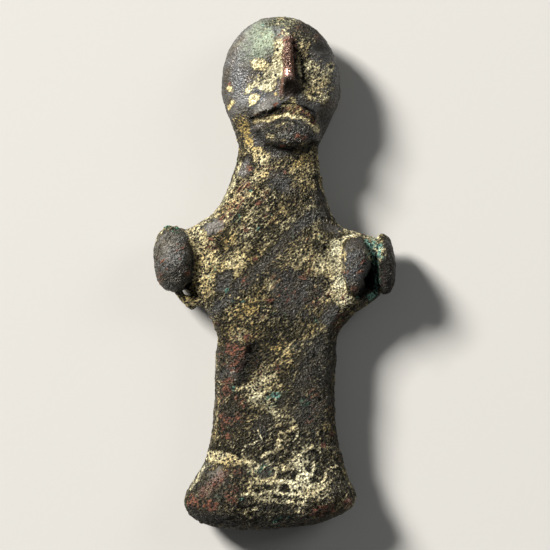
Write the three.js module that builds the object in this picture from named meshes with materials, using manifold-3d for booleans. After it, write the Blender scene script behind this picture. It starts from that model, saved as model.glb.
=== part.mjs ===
// A small votive figure of cast bronze, solid and in one piece: a round mask-like head with a
// keel of a nose and a down-turned mouth, a flat flaring body, two stub arms with clasping hands
// and a spread foot. It lies on its back, so X runs across the figure, Y from sole to crown and
// Z out of its face. Sizes are in millimetres.

import * as THREE from 'three';
import { mergeVertices } from 'three/addons/utils/BufferGeometryUtils.js';
import Module from 'manifold-3d';

// Driving sizes of the casting
const FIGURE_LENGTH = 70;
const HEAD_WIDTH = 16.2;
const HEAD_HEIGHT = 18.2;
const HEAD_DEPTH = 8.3;
const NECK_WIDTH = 10.8;
const NECK_DEPTH = 6.4;
const SHOULDER_SPAN = 30.6;
const CHEST_DEPTH = 7.4;
const WAIST_WIDTH = 16.2;
const WAIST_DEPTH = 7.2;
const FOOT_WIDTH = 23.8;
const FOOT_DEPTH = 8.4;

// How far the back of the head and of the neck stay off the surface that the figure lies on
const HEAD_LIFT = 0.5;
const NECK_LIFT = 0.9;

// How the casting is rounded off at its ends
const CROWN_ROUND = 9.4;
const CROWN_FULLNESS = 2.05;
const SOLE_ROUND = 4.5;
const SOLE_FULLNESS = 2.4;
const SOLE_SLANT = 0.055;

// Face: a keel-shaped nose, and a lip that stands in a cut under the arched cheeks
const NOSE_LENGTH = 9.4;
const NOSE_WIDTH = 1.6;
const NOSE_BASE_WIDTH = 2.7;
const NOSE_RISE = 2;
const NOSTRIL_WIDTH = 1.5;
const NOSTRIL_HEIGHT = 1.8;
const NOSTRIL_DEPTH = 0.9;
const MOUTH_WIDTH = 10.6;
const MOUTH_HEIGHT = 7;
const MOUTH_CUT = 1.5;
const LIP_WIDTH = 8.1;
const LIP_HEIGHT = 4.3;
const LIP_RISE = 1.4;

// Hands: a pair of upright lobes round a hollow on one side, one broad pad on the other
const LOBE_HEIGHT = 7.8;
const INNER_LOBE_WIDTH = 4;
const OUTER_LOBE_WIDTH = 2.8;
const LOBE_RISE = 2.2;
const GRIP_WIDTH = 2.1;
const GRIP_HEIGHT = 3.8;
const GRIP_DEPTH = 3;
const PAD_WIDTH = 5.5;
const PAD_HEIGHT = 8.9;
const PAD_RISE = 2.4;
const PALM_SLOT = 1.3;
const PALM_SLOT_WIDTH = 2.6;
const PALM_SLOT_HEIGHT = 5.6;
const RIB_THICKNESS = 0.7;

// How deep what is cast on is rooted in the body
const ROOT = 0.9;

// Facets
const AROUND = 52;
const ALONG = 60;
const OUTLINE_SAMPLES = 600;
const SMALL_AROUND = 18;
const SMALL_ALONG = 12;
const NOSE_ALONG = 22;
const MOUTH_SEGMENTS = 12;
const RIB_SIDES = 7;
const RIB_STEPS = 8;
const MERGE_GAP = 1e-4;

const { lerp, clamp, degToRad, smoothstep } = THREE.MathUtils;

// Places along the figure are shares of its length: within the head, crown to chin, and below it
const inHead = (share) => (share * HEAD_HEIGHT) / FIGURE_LENGTH;
const inBody = (share) => lerp(inHead(1), 1, share);

const HEAD_FRONT = HEAD_LIFT + HEAD_DEPTH;
const NECK_FRONT = NECK_LIFT + NECK_DEPTH;
const ankleFront = (share) => lerp(WAIST_DEPTH, FOOT_DEPTH, share);

// Cross-sections from crown to sole. lean moves a section sideways, front and back are heights
// over the surface that the figure lies on, and square is the power of its superellipse.
const section = (down, width, lean, front, back, square) => ({ down, width, lean, front, back, square });
const sections = [
  section(0, HEAD_WIDTH, 0.95, 0.93 * HEAD_FRONT, 0.9, 2.1), // crown
  section(inHead(0.35), HEAD_WIDTH, 1, HEAD_FRONT, HEAD_LIFT, 2.1), // brow
  section(inHead(0.58), HEAD_WIDTH, 1.1, HEAD_FRONT, 0, 2.15), // cheek
  section(inHead(0.74), 0.885 * HEAD_WIDTH, 1.05, 0.95 * HEAD_FRONT, 0.2, 2.2), // jaw
  section(inHead(0.86), 0.765 * HEAD_WIDTH, 0.95, 0.88 * HEAD_FRONT, 0.6, 2.3), // chin
  section(inBody(0), NECK_WIDTH, 0.7, NECK_FRONT, NECK_LIFT, 2.3), // neck
  section(inBody(0.075), 1.13 * NECK_WIDTH, 0.4, NECK_FRONT, NECK_LIFT, 2.4), // throat
  section(inBody(0.16), 1.44 * NECK_WIDTH, 0, CHEST_DEPTH, 0.3, 2.5), // collar
  section(inBody(0.195), 0.62 * SHOULDER_SPAN, -0.75, CHEST_DEPTH, 0, 2.5), // shoulder slope
  section(inBody(0.212), 0.72 * SHOULDER_SPAN, -0.95, CHEST_DEPTH, -0.1, 2.4), // shoulder
  section(inBody(0.234), 0.95 * SHOULDER_SPAN, -0.2, CHEST_DEPTH, -0.1, 2.2), // arm top
  section(inBody(0.247), SHOULDER_SPAN, 0.7, CHEST_DEPTH, -0.2, 2.2), // upper arm
  section(inBody(0.28), SHOULDER_SPAN, 1.1, CHEST_DEPTH, -0.2, 2.2), // arm
  section(inBody(0.34), 0.94 * SHOULDER_SPAN, 1.25, CHEST_DEPTH, -0.2, 2.2), // hand
  section(inBody(0.39), 0.83 * SHOULDER_SPAN, 1.6, CHEST_DEPTH, -0.2, 2.3), // arm underside
  section(inBody(0.42), 0.7 * SHOULDER_SPAN, 1.25, CHEST_DEPTH, -0.1, 2.4), // ribs
  section(inBody(0.446), 1.16 * WAIST_WIDTH, 0.85, WAIST_DEPTH, 0.1, 2.5), // flank
  section(inBody(0.5), WAIST_WIDTH, 0.5, WAIST_DEPTH, 0.3, 2.6), // waist
  section(inBody(0.56), 1.02 * WAIST_WIDTH, 0.35, WAIST_DEPTH, 0.2, 2.7), // hip
  section(inBody(0.645), WAIST_WIDTH, 0.2, WAIST_DEPTH, 0.2, 2.7), // thigh
  section(inBody(0.735), 1.04 * WAIST_WIDTH, 0.1, WAIST_DEPTH, 0.1, 2.7), // knee
  section(inBody(0.81), 0.775 * FOOT_WIDTH, 0.15, ankleFront(0.3), 0, 2.6), // hem
  section(inBody(0.865), 0.875 * FOOT_WIDTH, -0.2, ankleFront(0.7), -0.2, 2.6), // ankle
  section(inBody(0.9), 0.965 * FOOT_WIDTH, -0.35, FOOT_DEPTH, -0.3, 2.6), // instep
  section(inBody(0.935), FOOT_WIDTH, -0.4, FOOT_DEPTH, -0.3, 2.6), // foot
  section(1, FOOT_WIDTH, -0.4, 0.96 * FOOT_DEPTH, 0, 2.6), // sole
];

// Broad swells and hollows. across is a share of the half width there, wide and tall are the
// feature's half sizes, turn is in degrees and rise is its height.
const swell = (across, down, wide, tall, turn, rise) => ({ across, down, wide, tall, turn, rise });
const frontSwells = [
  swell(-0.08, inHead(0.46), 1.4, 3.6, -36, -0.7), // hollow by the nose, left
  swell(0.42, inHead(0.46), 1.3, 3.8, 14, -0.8), // hollow by the nose, right
  swell(-0.4, inHead(0.64), 2.6, 1.9, 20, 0.35), // cheek, left
  swell(0.6, inHead(0.65), 2.2, 2.2, -20, 0.4), // cheek, right
  swell(-0.68, inBody(0.27), 3, 4.4, 0, -0.9), // flat of the shoulder, left
  swell(0.54, inBody(0.285), 2.3, 4.8, 0, -0.7), // flat of the shoulder, right
  swell(0.05, inBody(0.26), 2.6, 7, -42, 0.45), // breast ridge
  swell(-0.64, inBody(0.547), 2, 2.8, -25, 0.55), // hip, left
  swell(-0.2, inBody(0.567), 1.7, 3, -15, -0.65), // hollow inside the hip
  swell(-0.24, inBody(0.67), 2.6, 3.2, -35, -0.45), // hollow of the lap
  swell(0.45, inBody(0.61), 3.4, 6.5, -28, 0.45), // thigh, right
  swell(-0.5, inBody(0.745), 3, 3.2, 0, 0.45), // shin, left
  swell(-0.54, inBody(0.9), 4, 3.3, 8, 1.4), // toes, left
  swell(0.66, inBody(0.91), 3.6, 3, -8, 0.9), // toes, right
  swell(0.12, inBody(0.87), 3.2, 3.2, 0, -0.35), // gap between the feet
  swell(-0.62, inBody(0.8), 4.2, 1.5, -7, -0.7), // crease over the left foot
];
const backSwells = [
  swell(0, inBody(0.44), 1.6, 12, 0, 0.5), // hollow of the spine
  swell(0.05, inBody(0.89), 2.2, 4.5, 0, 0.55), // hollow between the heels
];

// A monotone cubic through one column of the sections, so that no width or depth overshoots
function columnOf(key) {
  const at = sections.map((section) => section.down);
  const value = sections.map((section) => section[key]);
  const steps = at.slice(1).map((down, i) => (value[i + 1] - value[i]) / (down - at[i]));
  const slopes = value.map((_, i) => {
    if (i === 0 || i === value.length - 1 || steps[i - 1] * steps[i] <= 0) return 0;
    return (2 * steps[i - 1] * steps[i]) / (steps[i - 1] + steps[i]);
  });
  return (down) => {
    const after = at.findIndex((place, i) => i > 0 && down <= place);
    const i = after < 0 ? at.length - 2 : after - 1;
    const span = at[i + 1] - at[i];
    const u = clamp((down - at[i]) / span, 0, 1);
    const blend = u * u * (3 - 2 * u);
    const start = u * (1 - u) * (1 - u) * span * slopes[i];
    const end = u * u * (1 - u) * span * slopes[i + 1];
    return lerp(value[i], value[i + 1], blend) + start - end;
  };
}

const widthAt = columnOf('width');
const leanAt = columnOf('lean');
const frontAt = columnOf('front');
const backAt = columnOf('back');
const squareAt = columnOf('square');

const lengthwise = (down) => FIGURE_LENGTH * (0.5 - down);
const downOf = (y) => 0.5 - y / FIGURE_LENGTH;
const signedPower = (value, power) => Math.sign(value) * Math.pow(Math.abs(value), power);

// 0 at the very end of the figure and 1 from one radius inwards
function rounding(distance, radius, fullness) {
  const inward = clamp(distance / radius, 0, 1);
  return Math.pow(1 - Math.pow(1 - inward, fullness), 1 / fullness);
}

// The crown is twice as blunt seen from the side as it is from the front
function endShare(down, crownRound) {
  const crown = rounding(down * FIGURE_LENGTH, crownRound, CROWN_FULLNESS);
  return crown * rounding((1 - down) * FIGURE_LENGTH, SOLE_ROUND, SOLE_FULLNESS);
}

const halfWidthAt = (down) => 0.5 * widthAt(down) * endShare(down, CROWN_ROUND);

function reliefAt(list, x, down) {
  let relief = 0;
  for (const { across, down: centre, wide, tall, turn, rise } of list) {
    const angle = degToRad(turn);
    const narrower = Math.min(widthAt(down), widthAt(centre));
    const dx = x - leanAt(centre) - 0.5 * across * narrower;
    const dy = lengthwise(down) - lengthwise(centre);
    const u = (dx * Math.cos(angle) + dy * Math.sin(angle)) / wide;
    const v = (dy * Math.cos(angle) - dx * Math.sin(angle)) / tall;
    relief += rise * Math.exp(-u * u - v * v);
  }
  return relief;
}

// A point on the skin of the body: angle goes round the section, and the front is at 90 degrees
function skin(down, angle) {
  const power = 2 / squareAt(down);
  const x = leanAt(down) + halfWidthAt(down) * signedPower(Math.cos(angle), power);
  const front = frontAt(down);
  const back = backAt(down);
  const halfDepth = 0.5 * (front - back);
  const facing = Math.sin(angle);
  const share = endShare(down, 0.5 * CROWN_ROUND);
  const relief = facing > 0 ? reliefAt(frontSwells, x, down) : reliefAt(backSwells, x, down);
  const z = back + halfDepth + share * (halfDepth * signedPower(facing, power) + Math.abs(facing) * relief);
  const towardsSole = smoothstep(down, inBody(0.85), 1);
  return new THREE.Vector3(x, lengthwise(down) + SOLE_SLANT * x * towardsSole, Math.max(z, 0));
}

// The height of the body's front at a place, for what is cast onto it
function frontHeight(x, y) {
  const down = downOf(y);
  const across = clamp((x - leanAt(down)) / halfWidthAt(down), -1, 1);
  return skin(down, Math.acos(signedPower(across, squareAt(down) / 2))).z;
}

// Rows of the body are spread by distance along its outline, closer where it widens
function rowPlaces() {
  const travelled = [0];
  for (let i = 1; i <= OUTLINE_SAMPLES; i++) {
    const widening = halfWidthAt(i / OUTLINE_SAMPLES) - halfWidthAt((i - 1) / OUTLINE_SAMPLES);
    travelled.push(travelled[i - 1] + Math.hypot(FIGURE_LENGTH / OUTLINE_SAMPLES, 0.5 * widening));
  }
  const rows = [0];
  for (let row = 1; row < ALONG; row++) {
    const wanted = (travelled[OUTLINE_SAMPLES] * row) / ALONG;
    const i = travelled.findIndex((distance) => distance >= wanted);
    const share = (wanted - travelled[i - 1]) / (travelled[i] - travelled[i - 1]);
    rows.push((i - 1 + share) / OUTLINE_SAMPLES);
  }
  rows.push(1);
  return rows;
}

function bodyGeometry() {
  const geometry = new THREE.SphereGeometry(1, AROUND, ALONG);
  const place = geometry.attributes.position;
  rowPlaces().forEach((down, row) => {
    for (let column = 0; column <= AROUND; column++) {
      const angle = Math.PI - (2 * Math.PI * (column % AROUND)) / AROUND;
      const point = skin(down, angle);
      place.setXYZ(row * (AROUND + 1) + column, point.x, point.y, point.z);
    }
  });
  return geometry;
}

// An egg of the given full sizes, turned about X, then Y, then Z, and placed. Over 2, fullness
// makes it blunter.
function egg(size, centre, [aboutX, aboutY, aboutZ], fullness = 2) {
  const geometry = new THREE.SphereGeometry(1, SMALL_AROUND, SMALL_ALONG);
  const place = geometry.attributes.position;
  const point = new THREE.Vector3();
  for (let i = 0; i < place.count; i++) {
    point.fromBufferAttribute(place, i);
    const sum = point.toArray().reduce((total, value) => total + Math.abs(value) ** fullness, 0);
    point.multiplyScalar(0.5 / sum ** (1 / fullness));
    place.setXYZ(i, ...point);
  }
  geometry.scale(...size);
  geometry.rotateX(degToRad(aboutX));
  geometry.rotateY(degToRad(aboutY));
  geometry.rotateZ(degToRad(aboutZ));
  geometry.translate(...centre);
  return geometry;
}

// The nose is a keel that widens and rises to its tip, and falls off steeply below it. Places
// along it are shares of its length.
const NOSE_TIP = 0.7;
const NOSE_LEAN = 0.4;
const NOSTRIL_PLACE = 0.87;
const NOSTRIL_TILT = 30;
const noseTopY = lengthwise(inHead(0.1));
const noseMiddle = (down) => leanAt(inHead(0.4)) + 0.8 + NOSE_LEAN * down;

function noseRise(down) {
  const climb = lerp(0.35, 1, smoothstep(down, 0, NOSE_TIP));
  return NOSE_RISE * (climb - 0.6 * smoothstep(down, NOSE_TIP, 1));
}

function noseGeometry() {
  const geometry = new THREE.SphereGeometry(1, SMALL_AROUND, NOSE_ALONG);
  const place = geometry.attributes.position;
  for (let i = 0; i < place.count; i++) {
    const down = 0.5 - 0.5 * place.getY(i);
    const y = noseTopY - down * NOSE_LENGTH;
    const endRound = Math.sqrt(Math.max(1 - (2 * down - 1) ** 6, 0));
    const facing = Math.sin(Math.atan2(place.getZ(i), place.getX(i)));
    const aside = Math.cos(Math.atan2(place.getZ(i), place.getX(i)));
    const width = lerp(NOSE_WIDTH, NOSE_BASE_WIDTH, smoothstep(down, 0.55, 0.95));
    const height = facing > 0 ? (noseRise(down) + ROOT) * Math.pow(facing, 0.6) : ROOT * facing;
    const root = frontHeight(noseMiddle(down), y) - ROOT;
    place.setXYZ(i, noseMiddle(down) + 0.5 * width * aside * endRound, y, root + height * endRound);
  }
  return geometry;
}

// A shallow cup under the tip of the nose
function nostrilCut() {
  const x = noseMiddle(NOSTRIL_PLACE);
  const y = noseTopY - NOSTRIL_PLACE * NOSE_LENGTH;
  const z = frontHeight(x, y) + noseRise(NOSTRIL_PLACE);
  return egg([NOSTRIL_WIDTH, NOSTRIL_HEIGHT, 2 * NOSTRIL_DEPTH], [x, y, z], [NOSTRIL_TILT, 0, 0]);
}

const MOUTH_RUN_OUT = 0.25;
const LIP_GAP = 1.35;
const LIP_TURN = -5;
const mouthX = leanAt(inHead(0.85)) + 0.75;
const mouthTopY = lengthwise(inHead(0.665));

// An oval cut that leaves the cheeks standing in an arch, and runs out on the neck below
function mouthCut() {
  const oval = new THREE.Shape();
  oval.absellipse(0, 0, 0.5 * MOUTH_WIDTH, 0.5 * MOUTH_HEIGHT, 0, 2 * Math.PI);
  const settings = { depth: HEAD_DEPTH, bevelEnabled: false, curveSegments: MOUTH_SEGMENTS };
  const geometry = new THREE.ExtrudeGeometry(oval, settings);
  const floorAbove = frontHeight(mouthX, mouthTopY) - MOUTH_CUT;
  const floorBelow = frontHeight(mouthX, mouthTopY - MOUTH_HEIGHT) + MOUTH_RUN_OUT;
  geometry.rotateX(Math.atan2(floorAbove - floorBelow, MOUTH_HEIGHT));
  geometry.translate(mouthX, mouthTopY - 0.5 * MOUTH_HEIGHT, 0.5 * (floorAbove + floorBelow));
  return geometry;
}

function lipGeometry() {
  const y = mouthTopY - LIP_GAP - 0.5 * LIP_HEIGHT;
  const z = frontHeight(mouthX, y) - ROOT;
  return egg([LIP_WIDTH, LIP_HEIGHT, 2 * (LIP_RISE + ROOT)], [mouthX, y, z], [0, 0, LIP_TURN]);
}

// The hand on the right of the view clasps a hollow, which the lobes overlap a little
const HAND_FULLNESS = 2.5;
const HAND_ROOT = 3.2;
const LOBE_LAP = 1;
const LOBE_SPLAY = 7;
const GRIP_DROP = 1.7;
const handDown = inBody(0.3);
const handY = lengthwise(handDown) + 0.3;
const gripX = leanAt(handDown) + 0.395 * SHOULDER_SPAN;
const handFront = frontHeight(gripX, handY);

function innerLobe() {
  const x = gripX - 0.5 * (GRIP_WIDTH + INNER_LOBE_WIDTH) + LOBE_LAP;
  const z = frontHeight(x, handY) + LOBE_RISE - HAND_ROOT;
  const size = [INNER_LOBE_WIDTH, LOBE_HEIGHT, 2 * HAND_ROOT];
  return egg(size, [x, handY, z], [0, -LOBE_SPLAY, 5], HAND_FULLNESS);
}

function outerLobe() {
  const x = gripX + 0.5 * (GRIP_WIDTH + OUTER_LOBE_WIDTH - LOBE_LAP);
  const z = handFront + 0.7 * LOBE_RISE - HAND_ROOT;
  return egg([OUTER_LOBE_WIDTH, LOBE_HEIGHT, 2 * HAND_ROOT], [x, handY, z], [0, LOBE_SPLAY, 2], 2.2);
}

function gripCut() {
  const centre = [gripX, handY - GRIP_DROP, handFront];
  return egg([GRIP_WIDTH, GRIP_HEIGHT, 2 * GRIP_DEPTH], centre, [0, 0, 8]);
}

// The other hand shows only a broad pad, folded over a slot that opens below it
const PAD_INSET = 0.62;
const padX = leanAt(handDown) - 0.5 * SHOULDER_SPAN + PAD_INSET;
const padY = handY + 0.25;
const padFront = frontHeight(padX + 0.25 * PAD_WIDTH, padY);
const padEndY = padY - 0.42 * PAD_HEIGHT;

function padGeometry() {
  const centre = [padX, padY, padFront + PAD_RISE - HAND_ROOT];
  return egg([PAD_WIDTH, PAD_HEIGHT, 2 * HAND_ROOT], centre, [0, 0, 3], HAND_FULLNESS);
}

function palmSlot() {
  const centre = [padX + 0.3 * PAD_WIDTH, padEndY + 0.5, padFront - 0.5 * PALM_SLOT];
  return egg([PALM_SLOT_WIDTH, PALM_SLOT_HEIGHT, PALM_SLOT], centre, [-12, 18, 24]);
}

// Two thin ribs curve out from under the pad to the flank. Their routes are from its lower end,
// and heights are over the surface that the figure lies on.
const ribRoutes = [
  [[1.3, 0.8, 5.2], [1.4, -1.5, 5.2], [4.3, -2.3, 4.6]],
  [[0.2, 0.6, 5.2], [0.5, -1.4, 5.1], [2.9, -2.8, 4.2]],
];

function ribGeometry(points) {
  const route = points.map(([x, y, z]) => new THREE.Vector3(padX + x, padEndY + y, z));
  const oval = new THREE.EllipseCurve(0, 0, 0.5 * RIB_THICKNESS, 0.9 * RIB_THICKNESS);
  const section = new THREE.Shape(oval.getPoints(RIB_SIDES).slice(0, RIB_SIDES));
  const settings = { steps: RIB_STEPS, extrudePath: new THREE.QuadraticBezierCurve3(...route) };
  return new THREE.ExtrudeGeometry(section, settings);
}

const wasm = await Module();
wasm.setup();

function solidOf(geometry) {
  const bare = geometry.clone();
  bare.deleteAttribute('normal');
  bare.deleteAttribute('uv');
  const merged = mergeVertices(bare, MERGE_GAP);
  const mesh = new wasm.Mesh({
    numProp: 3,
    vertProperties: new Float32Array(merged.attributes.position.array),
    triVerts: new Uint32Array(merged.index.array),
  });
  return new wasm.Manifold(mesh);
}

function geometryOf(solid) {
  const mesh = solid.getMesh();
  const geometry = new THREE.BufferGeometry();
  geometry.setAttribute('position', new THREE.BufferAttribute(new Float32Array(mesh.vertProperties), 3));
  geometry.setIndex(new THREE.BufferAttribute(new Uint32Array(mesh.triVerts), 1));
  geometry.computeVertexNormals();
  return geometry;
}

function figureGeometry() {
  const hands = [innerLobe(), outerLobe(), padGeometry(), ...ribRoutes.map(ribGeometry)];
  const castOn = [noseGeometry(), lipGeometry(), ...hands];
  const cuts = [nostrilCut(), gripCut(), palmSlot()];
  const faced = solidOf(bodyGeometry()).subtract(solidOf(mouthCut()));
  const joined = castOn.reduce((solid, geometry) => solid.add(solidOf(geometry)), faced);
  const carved = cuts.reduce((solid, geometry) => solid.subtract(solidOf(geometry)), joined);
  const geometry = geometryOf(carved);
  geometry.computeBoundingBox();
  const centre = geometry.boundingBox.getCenter(new THREE.Vector3());
  geometry.translate(-centre.x, -centre.y, -geometry.boundingBox.min.z);
  return geometry;
}

const bronze = new THREE.MeshStandardMaterial({ color: 0x4b4536, roughness: 0.6, metalness: 0.45 });

const figure = new THREE.Mesh(figureGeometry(), bronze);
figure.name = 'votive_figure';

const model = new THREE.Group();
model.name = 'bronze votive figure';
model.add(figure);

export default model;
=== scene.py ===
# Dressed model of a small cast bronze votive figure that lies on its back
import math

import bmesh
import bpy
import numpy as np
from mathutils import Euler, Matrix, Vector


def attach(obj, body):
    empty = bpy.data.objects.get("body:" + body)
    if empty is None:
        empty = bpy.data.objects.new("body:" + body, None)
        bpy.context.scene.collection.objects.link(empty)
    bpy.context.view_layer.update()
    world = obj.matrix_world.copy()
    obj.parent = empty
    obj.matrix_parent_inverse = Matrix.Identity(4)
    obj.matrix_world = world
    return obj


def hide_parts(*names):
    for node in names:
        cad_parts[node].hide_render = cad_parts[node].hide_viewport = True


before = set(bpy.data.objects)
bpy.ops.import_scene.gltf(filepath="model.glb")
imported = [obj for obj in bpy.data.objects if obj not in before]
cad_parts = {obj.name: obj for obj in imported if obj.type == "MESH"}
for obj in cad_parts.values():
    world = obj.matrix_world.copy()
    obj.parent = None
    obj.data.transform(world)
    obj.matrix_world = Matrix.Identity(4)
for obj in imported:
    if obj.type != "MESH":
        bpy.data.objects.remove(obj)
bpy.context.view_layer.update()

bl_info = {
    "name": "Bronze Votive Figure",
    "version": (1, 0, 0),
    "blender": (4, 5, 0),
    "location": "3D View > Sidebar > Votive figure",
    "description": "Corroded skin of a small cast bronze votive figure, and the studio it lies in",
    "category": "Object",
}

# Places on the photograph and on the figure
MILLIMETRE = 0.001
PIXEL = 70 / 514  # one pixel of the photograph, in millimetres
PHOTO_SIDE = 550
MIDDLE_COLUMN = 274.5  # where the figure's origin lies on the photograph
MIDDLE_ROW = 273.0
STREAK_ANGLE = math.radians(40)  # the corroded skin is streaked upwards to the right
CHIN_ROWS = (140, 156)  # the bare head ends and the earthy body begins
BELLY_ROWS = (300, 335)  # less earth below these
WAIST_ROWS = (285, 335)  # painted shade: a little darker below these, as the light falls off down the body
SOLE_ROWS = (505, 519)  # the foot turns down, into its own shade
SHARP_HEIGHT = 6.0  # millimetres over the floor at which the picture has its true width

# What a mark can give the skin: finishes for the material, of which calm smooths the relief too, and relief
# shade is painted shade and darker skin; bloom is a pale film, and also painted sheen and painted light on
# smooth skin
FINISHES = ("earth", "warmth", "cuprite", "malachite", "turquoise", "bloom", "copper", "shade", "calm")
RELIEFS = ("crust", "vein", "rise")
ADDED_UP = ("vein", "rise")  # these add up where marks overlap, and the others replace what lies below

# Sizes of the noise and its tables; the tables are powers of two
NOISE_TABLE = 256
NOISE_GAIN = 1.7  # brings the noise to about -1 to 1
OCTAVE_SHIFT = 17.3  # keeps finer swellings off the coarser ones
CELL_TABLE = 4096
CELL_STEPS = (73, 577, 2741)  # primes that spread neighbouring cells over the table

# Relief of the corroded skin, in millimetres
LUMP_HEIGHT = 0.075
RIPPLE_HEIGHT = 0.12
GRAIN_HEIGHT = 0.1
PIT_DEPTH = 0.16
CRUST_SEAM_HEIGHT = 0.1
CRUST_SUNK = 0.07  # the crust's ground lies this much lower than its seams' feet
CRUST_CELL = 1.2  # from seam to seam
GREEN_LUMP_HEIGHT = 0.36

# Meshes
MOST_TRIANGLES = 200000
SMOOTHING_STEP = 0.7
FACET_ROUNDS = 110  # rounds of smoothing that take the solid's facets off
SEAM_ROUNDS = 6  # and those that take the edges off the small forms
HOLLOW_ROUNDS = 12  # rounds of averaging that give a point's surroundings
HOLLOW_DEPTH = 0.12  # millimetres that count as a full hollow

# Materials; the sizes are in metres
EARTH_SPREAD = 1.15  # how much the grit changes where earth holds
FLECK_SPREAD = 1.1  # the same for the red and green flecks
STREAK_STRETCH = 2.3
CLOUD_SIZE = 0.0024
GRAIN_ROUGHNESS = 0.62
COPPER_METAL = 0.95
COPPER_ROUGHNESS = 0.22
DRY_ROUGHNESS = 0.93
FLOOR_TOOTH = 1 / 1200
FLOOR_TOOTH_HEIGHT = 0.00005
# Near black of dirt in pits, and of the shade painted into pits, hollows and nooks
DIRT_AND_SHADE = "#100e08"

# Numbers of a mix node's inputs and of its output, because several have the same name
FACTOR, FIRST, SECOND, FIRST_COLOUR, SECOND_COLOUR, MIXED_COLOUR = 0, 2, 3, 6, 7, 2


def linear(hex_colour):
    """sRGB hex value as the linear colour that the shader needs."""
    values = [int(hex_colour[i : i + 2], 16) / 255 for i in (1, 3, 5)]
    return [v / 12.92 if v <= 0.04045 else ((v + 0.055) / 1.055) ** 2.4 for v in values]


def eased(value, start, end):
    """0 before start and 1 after end, with a soft passage between them; start may be the greater."""
    share = np.clip((value - start) / (end - start), 0, 1)
    return share * share * (3 - 2 * share)


# Noise in space, for relief and for where the finishes lie
def lattice_noise(points, seed):
    """Smooth noise from about -1 to 1, with one swelling to a unit of length."""
    rng = np.random.default_rng(seed)
    directions = rng.normal(size=(NOISE_TABLE, 3))
    directions /= np.linalg.norm(directions, axis=1)[:, None]
    shuffle = rng.permutation(NOISE_TABLE)
    last = NOISE_TABLE - 1
    corner = np.floor(points).astype(int)
    inside = points - corner
    ease = inside**3 * (inside * (inside * 6 - 15) + 10)
    total = np.zeros(len(points))
    for across in (0, 1):
        first = shuffle[(corner[:, 0] + across) & last]
        for along in (0, 1):
            second = shuffle[(first + corner[:, 1] + along) & last]
            for up in (0, 1):
                key = shuffle[(second + corner[:, 2] + up) & last]
                step = np.array((across, along, up))
                weight = np.prod(np.where(step, ease, 1 - ease), axis=1)
                total += weight * np.einsum("ij,ij->i", directions[key], inside - step)
    return total * NOISE_GAIN


def fractal(points, size, octaves, seed):
    """Noise whose largest swellings are size apart, each finer one half as large and half as strong."""
    total = np.zeros(len(points))
    for octave in range(octaves):
        finer = 2**octave
        total += lattice_noise(points * finer / size + OCTAVE_SHIFT * octave, seed + octave) / finer
    return total


def cells(points, size, seed):
    """Distance to the nearest and the next of points about size apart, and a random share of each cell."""
    scaled = points / size
    rng = np.random.default_rng(seed)
    jitter = rng.random((CELL_TABLE, 4))
    corner = np.floor(scaled).astype(int)
    nearest = np.full(len(points), np.inf)
    following = np.full(len(points), np.inf)
    share = np.zeros(len(points))
    for step in np.ndindex(3, 3, 3):
        cell = corner + np.array(step) - 1
        key = (cell @ CELL_STEPS) & (CELL_TABLE - 1)
        away = np.linalg.norm(cell + jitter[key, :3] - scaled, axis=1)
        closer = away < nearest
        following = np.where(closer, nearest, np.minimum(following, away))
        share = np.where(closer, jitter[key, 3], share)
        nearest = np.where(closer, away, nearest)
    return nearest, following, share


def streaked(points, stretch):
    """The points with lengths along the streaks shortened, which stretches noise along them."""
    along = points[:, 0] * math.cos(STREAK_ANGLE) + points[:, 1] * math.sin(STREAK_ANGLE)
    across = points[:, 1] * math.cos(STREAK_ANGLE) - points[:, 0] * math.sin(STREAK_ANGLE)
    return np.column_stack((along / stretch, across, points[:, 2]))


# Marks: features of the skin, each placed by pixels of the photograph
def spot(column, row, wide, tall, turn=0, edge=0.4, ragged=0.5, **gives):
    """An oval of these half sizes in pixels, turned anticlockwise by turn degrees."""
    return {
        "route": [(column, row)], "wide": wide, "tall": tall, "turn": math.radians(turn),
        "edge": edge, "ragged": ragged, "gives": gives,
    }


def streak(route, wide, edge=0.5, ragged=0.4, **gives):
    """A line along the route, wide pixels across."""
    return {
        "route": route, "wide": wide / 2, "tall": wide / 2, "turn": 0.0,
        "edge": edge, "ragged": ragged, "gives": gives,
    }


def vein(route, wide, strength):
    """A raised vein of earth along the route, wide pixels across."""
    return streak(route, wide, ragged=1.1, vein=strength)


def green_point(column, row, wide, tall, turn=0):
    """A speck of malachite."""
    return spot(column, row, wide, tall, turn, malachite=0.66, turquoise=0.4)


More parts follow.
